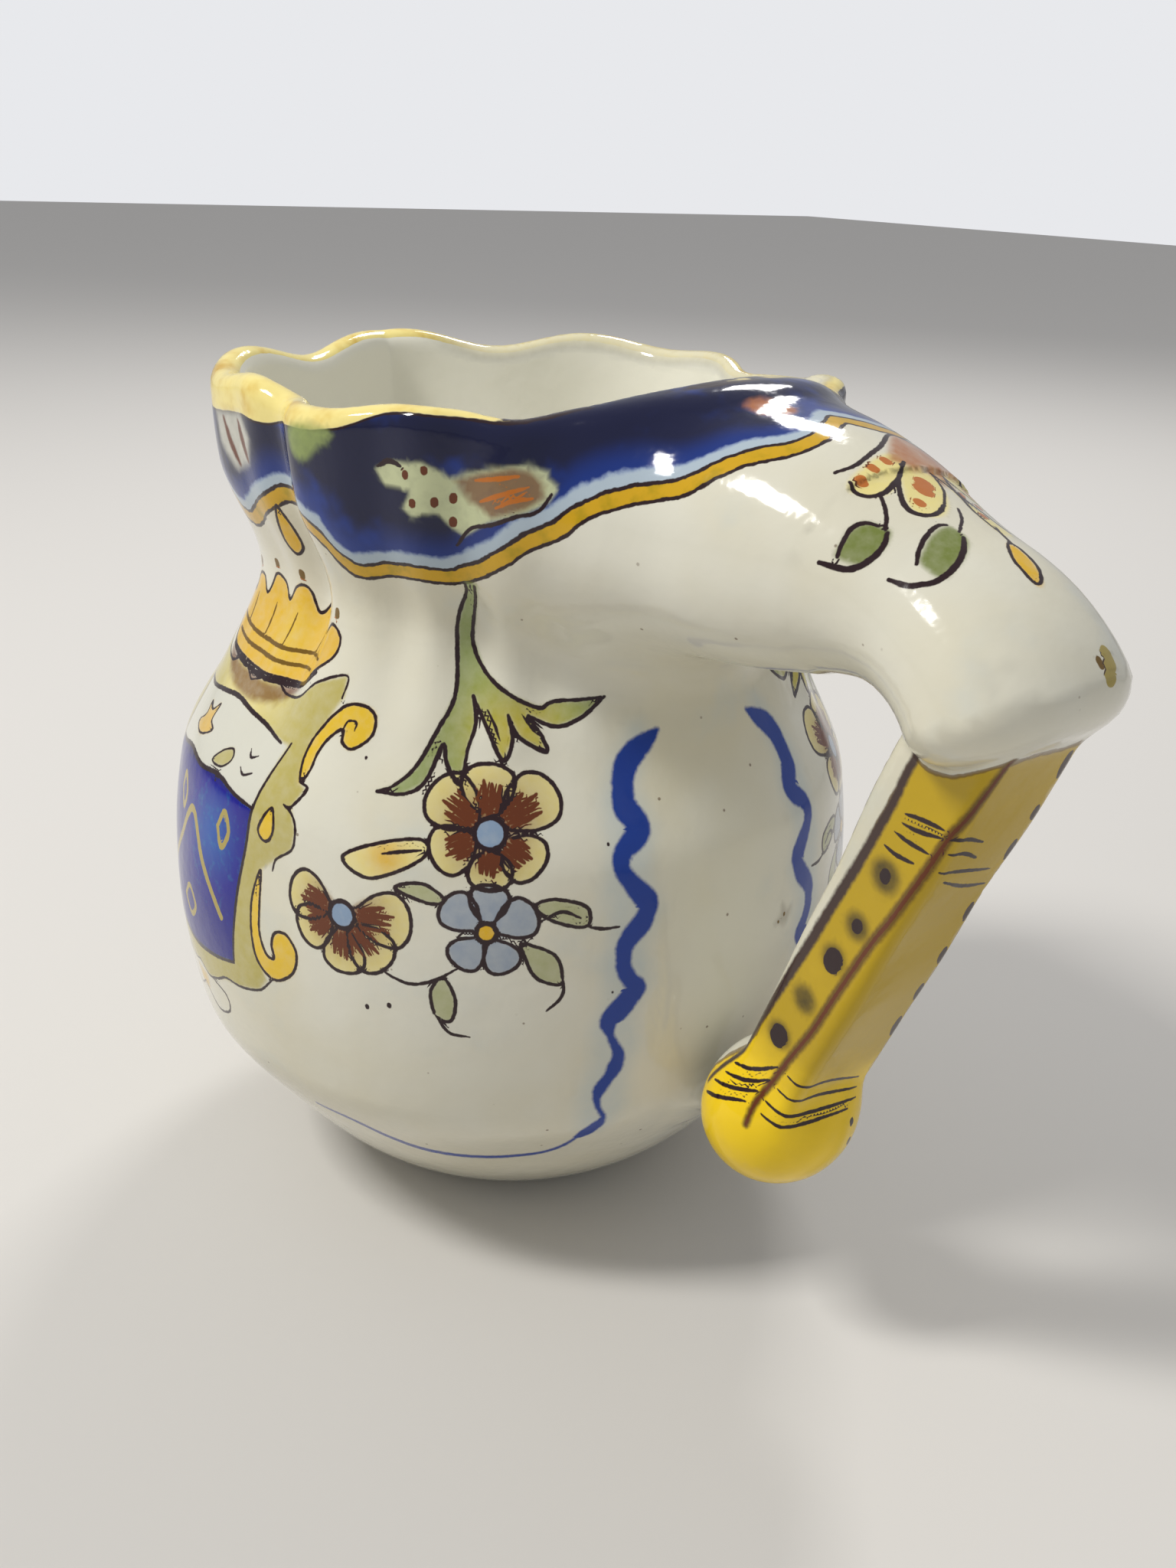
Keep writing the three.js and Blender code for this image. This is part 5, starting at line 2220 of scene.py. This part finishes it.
@dataclass(frozen=True)
class GlazeFinish:
    """Colours and gloss of the glazed and painted surface."""

    white: Colour = (0.73, 0.71, 0.60)
    cream: Colour = (0.69, 0.65, 0.50)
    cool: Colour = (0.58, 0.63, 0.62)
    # Colour of the inside, lighter than the outer white: painted light for the light that bounces round the
    # hollow.
    hollow: Colour = (0.88, 0.86, 0.74)
    ink: Colour = (0.020, 0.006, 0.008)
    rust: Colour = (0.13, 0.028, 0.004)
    amber: Colour = (0.50, 0.15, 0.02)
    olive: Colour = (0.16, 0.085, 0.004)
    slate: Colour = (0.050, 0.026, 0.020)
    gold: Colour = (0.40, 0.31, 0.07)
    cobalt: Colour = (0.005, 0.040, 0.29)
    cobalt_dark: Colour = (0.006, 0.008, 0.040)
    cobalt_thin: Colour = (0.05, 0.12, 0.42)
    halo: Colour = (0.36, 0.46, 0.56)
    yellow: Colour = (0.62, 0.36, 0.008)
    # Pale yellow of the lip: partly the paint's own colour, partly a painted highlight along the rounded
    # edge.
    lip: Colour = (0.90, 0.76, 0.28)
    pipe: Colour = (0.90, 0.61, 0.003)
    # Deeper yellow: random patches on the ribbon, and painted shade on the pipe.
    pipe_deep_and_shade: Colour = (0.44, 0.29, 0.002)
    speck: Colour = (0.16, 0.10, 0.06)
    pools: Patches = Patches(120.0, 3.0, 0.22, 0.50)
    ribbon_patches: Patches = Patches(500.0, 3.0, 0.45, 0.75)
    lip_patches: Patches = Patches(230.0, 3.0, 0.42, 0.85)
    ribbon: float = 1.8
    # Distances down the pipe between which its painted shade fades in, from none at the bell to full higher
    # up.
    painted_shade_span: tuple[float, float] = (54.0, 40.0)
    roughness: float = 0.10
    refraction: float = 1.45
    specular: float = 0.42
    coat: float = 0.15
    coat_roughness: float = 0.03
    ripple: float = 0.05
    ripple_distance: float = 0.0012

    def material(self) -> bpy.types.Material:
        """Builds the material.

        Returns:
            The glaze.
        """
        made = bpy.data.materials.new("glaze")
        made.use_nodes = True
        board = Board(made.node_tree)
        tin = board.group(glaze_group(), White=self.white, Cream=self.cream, Cool=self.cool)
        zones = board.split(board.attribute("zones")["Vector"])
        colour = board.mix(board.times(tin["Specks"], 0.75), tin["Colour"], self.speck)
        # The hollow gets its own lighter colour, which is painted light.
        colour = board.mix(board.ramp(zones["Z"], 0.5, -1.0), colour, self.hollow)
        colour = self.band(board, zones, colour)
        colour = self.pipe_glaze(board, tin["Colour"], colour)
        paint = board.attribute("paint")
        thick = board.math("MULTIPLY_ADD", board.noise(700.0, 3.0), 0.5, c=0.74)
        cover = board.math("MULTIPLY", paint["Alpha"], thick, clamp=True)
        colour = board.mix(cover, colour, paint["Color"])
        brush = brush_group()
        colour = self.lines(board, brush, colour, "broad", 0.3, 0.26)
        colour = self.lines(board, brush, colour, "line", 0.22, 0.06)
        ripple = {"Strength": self.ripple, "Distance": self.ripple_distance, "Height": tin["Ripple"]}
        gloss = {"Roughness": self.roughness, "IOR": self.refraction, "Specular IOR Level": self.specular}
        gloss |= {"Coat Weight": self.coat, "Coat Roughness": self.coat_roughness}
        normal = board.node("ShaderNodeBump", None, **ripple).outputs["Normal"]
        shader = board.node("ShaderNodeBsdfPrincipled", None, Base_Color=colour, Normal=normal, **gloss)
        board.node("ShaderNodeOutputMaterial", None, Surface=shader.outputs[0])
        return made

    def band(self, board: Board, zones: bpy.types.bpy_prop_collection, colour: Socket) -> Socket:
        """Lays the rim band and the lip over a colour.

        Args:
            board: The material's board.
            zones: Places above the band's border, below the lip and outside the hollow.
            colour: Colour below.

        Returns:
            The new colour.
        """
        places = {"Band": zones["X"], "Lip": zones["Y"], "Outer": zones["Z"]}
        band = board.group(band_group(), Ribbon=self.ribbon, **places)
        pool = board.patches(self.pools)
        middle = board.ramp(zones["X"], 2.6, 6.0)
        pool = board.times(pool, board.math("MULTIPLY_ADD", middle, 0.6, c=0.4))
        deep = board.mix(pool, self.cobalt, self.cobalt_dark)
        colour = board.mix(board.times(band["Halo"], 0.85), colour, self.halo)
        edge = board.mix(band["Cobalt"], self.cobalt_thin, deep)
        colour = board.mix(band["Cobalt"], colour, edge)
        amber = board.mix(board.patches(self.ribbon_patches), self.yellow, self.pipe_deep_and_shade)
        colour = board.mix(band["Ribbon"], colour, amber)
        colour = board.mix(band["Line"], colour, self.ink)
        # The lip's pale yellow holds a painted highlight, broken up by patches of the deeper yellow.
        lip = board.mix(board.patches(self.lip_patches), self.lip, self.yellow)
        return board.mix(band["Lip"], colour, lip)

    def pipe_glaze(self, board: Board, tin: Socket, colour: Socket) -> Socket:
        """Lays the yellow of the pipe and the bell over a colour, with painted shade that darkens the pipe
        up towards the arm while the bell stays bright.

        Args:
            board: The material's board.
            tin: Colour of the bare glaze.
            colour: Colour below.

        Returns:
            The new colour.
        """
        places = board.split(board.attribute("more")["Vector"])
        # Painted shade: the pipe turns to the deeper yellow from the bell up towards the arm, with noise
        # for uneven tone.
        shade = board.plus(board.noise(140.0, 4.0), board.ramp(places["Z"], *self.painted_shade_span))
        shaded_yellow = board.mix(board.times(board.ramp(shade, 0.45, 1.5), 0.85), self.pipe, self.pipe_deep_and_shade)
        shaded_yellow = board.mix(board.ramp(places["Y"], -0.06, 0.06), shaded_yellow, tin)
        place = board.plus(places["X"], board.sway(400.0, 2.0, 0.8))
        colour = board.mix(board.ramp(place, -0.15, 0.2), colour, shaded_yellow)
        border = board.ramp(board.away(place), 0.34, 0.16)
        rim = board.ramp(board.away(places["Y"]), 0.3, 0.12)
        rim = board.times(rim, board.ramp(place, -0.1, 0.1))
        return board.mix(board.times(board.math("MAXIMUM", border, rim), 0.8), colour, self.olive)

    def lines(
        self, board: Board, group: bpy.types.NodeTree, colour: Socket, name: str, wobble: float, soft: float
    ) -> Socket:
        """Lays brush lines over a colour.

        Args:
            board: The material's board.
            group: The brush line group.
            colour: Colour below.
            name: Name of the painted values.
            wobble: How much the width varies, in millimetres.
            soft: Half width of the soft edge, in millimetres.

        Returns:
            The new colour.
        """
        info = board.attribute(name + "_stroke")["Vector"]
        way = board.attribute(name)["Vector"]
        mask = board.group(group, Offset=way, Stroke=info, Wobble=wobble, Soft=soft)["Mask"]
        tones = (self.ink, self.rust, self.amber, self.olive, self.slate, self.gold, self.cobalt)
        share = board.math("DIVIDE", board.plus(board.split(info)["Z"], 0.5), float(len(tones)))
        tint = board.node("ShaderNodeValToRGB", None, Fac=share)
        tint.color_ramp.interpolation = "CONSTANT"
        elements = tint.color_ramp.elements
        elements[1].position = 1 / len(tones)
        for number in range(2, len(tones)):
            elements.new(number / len(tones))
        for element, value in zip(elements, tones):
            element.color = (*value, 1.0)
        return board.mix(mask, colour, tint.outputs["Color"])


# The piece, the studio and the camera


def placed(name: str, data: bpy.types.ID) -> bpy.types.Object:
    """Puts a mesh, light or camera into the scene.

    Args:
        name: Name of the object.
        data: What the object shows.

    Returns:
        The object.
    """
    made = bpy.data.objects.new(name, data)
    bpy.context.scene.collection.objects.link(made)
    return made


@dataclass
class Jug:
    """The glazed jug as one Blender object."""

    form: JugForm = field(default_factory=JugForm)
    finish: GlazeFinish = field(default_factory=GlazeFinish)
    splits: int = 4
    longest_way: float = 6.0
    farthest: float = 9.0
    rubbing: float = 0.9

    def motifs(self) -> list[Motif]:
        """Everything painted on the jug.

        Returns:
            The motifs of both sides.
        """
        made = []
        for side in (-1.0, 1.0):
            made += flowers(side) + scallops(side) + arm_spray(side) + rim_marks(side)
        return made + pipe_marks() + [shield(), crest()] + pinholes()

    def build(self) -> bpy.types.Object:
        """Makes the mesh with its painted values.

        Returns:
            The object.
        """
        skin = Skin(self.form, (-49.0, -47.0, -2.5), (88.0, 47.0, 110.0))
        skin.build()
        LOG.info("base net: %d triangles", len(skin.triangles))
        painter = Painter(self.form, self.motifs())
        painter.lay_strokes()
        for _ in range(self.splits):
            skin.split(painter.wanted(skin.vertices))
            LOG.info("split: %d triangles", len(skin.triangles))
        return self.to_object(skin, painter)

    def to_object(self, skin: Skin, painter: Painter) -> bpy.types.Object:
        """Turns the skin into a Blender object.

        Args:
            skin: The triangles.
            painter: The painter that holds the strokes.

        Returns:
            The object.
        """
        p = skin.vertices
        normal = skin.smooth_normals()
        mesh = bpy.data.meshes.new("glazed_jug")
        mesh.from_pydata((p * METRES).tolist(), [], skin.triangles.tolist())
        mesh.validate()
        mesh.shade_smooth()
        mesh.normals_split_custom_set_from_vertices(normal.tolist())
        zones = Zones(self.form)
        self.store(mesh, "zones", np.stack([zones.band(p, normal), zones.lip(p), zones.outer(p)], -1))
        # The third value, the place along the pipe, sets the pipe's painted shade.
        more = (zones.pipe(p), zones.bell_rim(p), self.form.pipe.local(p)[0])
        self.store(mesh, "more", np.stack(more, -1))
        for name, track in (("line", painter.fine), ("broad", painter.broad)):
            offset, width, tone = track.nearest(p)
            away = np.linalg.norm(offset, axis=1)
            self.store(mesh, name, np.clip(offset, -self.longest_way, self.longest_way))
            info = (np.minimum(away, self.farthest), width, tone)
            self.store(mesh, name + "_stroke", np.stack(info, -1))
        washed = mesh.attributes.new("paint", "FLOAT_COLOR", "POINT")
        paint = painter.washed(p)
        rubbed = self.rubbing * zones.rubbed(p)
        paint[:, :3] += (np.array(RUBBED_RIM) - paint[:, :3]) * rubbed[:, None]
        paint[:, 3] = np.maximum(paint[:, 3], rubbed)
        washed.data.foreach_set("color", paint.astype(np.float32).ravel())
        made = placed("glazed_jug", mesh)
        made.data.materials.append(self.finish.material())
        return made

    @staticmethod
    def store(mesh: bpy.types.Mesh, name: str, values: Array) -> None:
        """Keeps a vector on every vertex."""
        kept = mesh.attributes.new(name, "FLOAT_VECTOR", "POINT")
        kept.data.foreach_set("vector", values.astype(np.float32).ravel())


@dataclass(frozen=True)
class Lamp:
    """A flat rectangular studio light, placed round the jug."""

    azimuth: float
    elevation: float
    distance: float
    width: float
    height: float
    power: float
    colour: Colour = (1.0, 1.0, 1.0)

    def build(self, name: str, aim: Vector) -> None:
        """Hangs the light.

        Args:
            name: Name of the light.
            aim: What it points at.
        """
        data = bpy.data.lights.new(name, "AREA")
        data.shape = "RECTANGLE"
        data.size, data.size_y = self.width, self.height
        data.energy = self.power
        data.color = self.colour
        made = placed(name, data)
        a, e = math.radians(self.azimuth), math.radians(self.elevation)
        back = Vector((math.sin(a) * math.cos(e), -math.cos(a) * math.cos(e), math.sin(e)))
        made.location = aim + back * self.distance
        made.rotation_mode = "QUATERNION"
        made.rotation_quaternion = (-back).to_track_quat("-Z", "Y")


@dataclass(frozen=True)
class Studio:
    """Pale floor, pale surroundings and soft lights."""

    lamps: tuple[Lamp, ...] = (
        Lamp(-20.0, 52.0, 0.90, 0.15, 0.21, 5.5, (1.0, 0.985, 0.95)),
        Lamp(-140.0, 42.0, 0.90, 0.20, 0.20, 2.7, (1.0, 0.99, 0.97)),
    )
    floor_colour: Colour = (0.64, 0.62, 0.59)
    world_colour: Colour = (0.96, 0.97, 1.0)
    world_strength: float = 0.46
    seen_strength: float = 0.84
    floor_size: float = 6.0
    floor_roughness: float = 0.75
    aim_height: float = 0.055

    def build(self) -> None:
        """Sets up floor, world and lights."""
        aim = Vector((0.0, 0.0, self.aim_height))
        for number, lamp in enumerate(self.lamps):
            lamp.build(f"lamp_{number}", aim)
        half = self.floor_size / 2
        mesh = bpy.data.meshes.new("floor")
        corners = [(-half, -half, 0), (half, -half, 0), (half, half, 0), (-half, half, 0)]
        mesh.from_pydata(corners, [], [(0, 1, 2, 3)])
        floor = placed("floor", mesh)
        matt = bpy.data.materials.new("floor")
        matt.use_nodes = True
        shader = matt.node_tree.nodes["Principled BSDF"]
        shader.inputs["Base Color"].default_value = (*self.floor_colour, 1.0)
        shader.inputs["Roughness"].default_value = self.floor_roughness
        mesh.materials.append(matt)
        world = bpy.data.worlds.new("studio")
        world.use_nodes = True
        board = Board(world.node_tree)
        seen = board.node("ShaderNodeLightPath").outputs["Is Camera Ray"]
        more = self.seen_strength - self.world_strength
        strength = board.math("MULTIPLY_ADD", seen, more, c=self.world_strength)
        ground = board.node("ShaderNodeBackground", None, Color=self.world_colour, Strength=strength)
        board.node("ShaderNodeOutputWorld", None, Surface=ground.outputs[0])
        bpy.context.scene.world = world
        bpy.context.scene.view_settings.view_transform = "Standard"


@dataclass(frozen=True)
class PhotoCamera:
    """The camera at the photograph's place."""

    azimuth: float = 55.0
    distance: float = 186.8
    height: float = 126.04
    pitch: float = 0.38913
    pan: float = 0.0491
    roll: float = 0.04538
    focal_pixels: float = 2000.0
    sensor: float = 36.0

    def build(self) -> None:
        """Makes the scene's camera."""
        a = math.radians(self.azimuth)
        look = Vector((-math.sin(a), math.cos(a), 0.0))
        place = -look * self.distance + Vector((0.0, 0.0, self.height))
        c, s = math.cos(self.pan), math.sin(self.pan)
        level = Vector((c * look.x + s * look.y, -s * look.x + c * look.y, 0.0))
        forward = level * math.cos(self.pitch) + Vector((0.0, 0.0, -math.sin(self.pitch)))
        right = forward.cross(Vector((0.0, 0.0, 1.0))).normalized()
        up = right.cross(forward)
        c, s = math.cos(self.roll), math.sin(self.roll)
        right, up = c * right + s * up, -s * right + c * up
        data = bpy.data.cameras.new("camera")
        data.sensor_width = self.sensor
        data.lens = self.sensor * self.focal_pixels / max(PHOTO_SIZE)
        data.clip_start, data.clip_end = 0.005, 20.0
        made = placed("camera", data)
        turn = Matrix((right, up, -forward)).transposed().to_4x4()
        made.matrix_world = Matrix.Translation(place * METRES) @ turn
        bpy.context.scene.camera = made


def main() -> None:
    """Builds the scene."""
    logging.basicConfig(level=logging.INFO)
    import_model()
    jug = Jug().build()
    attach(jug, "root")
    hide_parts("jug")
    LOG.info("piece %s: %d triangles", jug.name, len(jug.data.polygons))
    Studio().build()
    PhotoCamera().build()


if __name__ == "__main__":
    main()
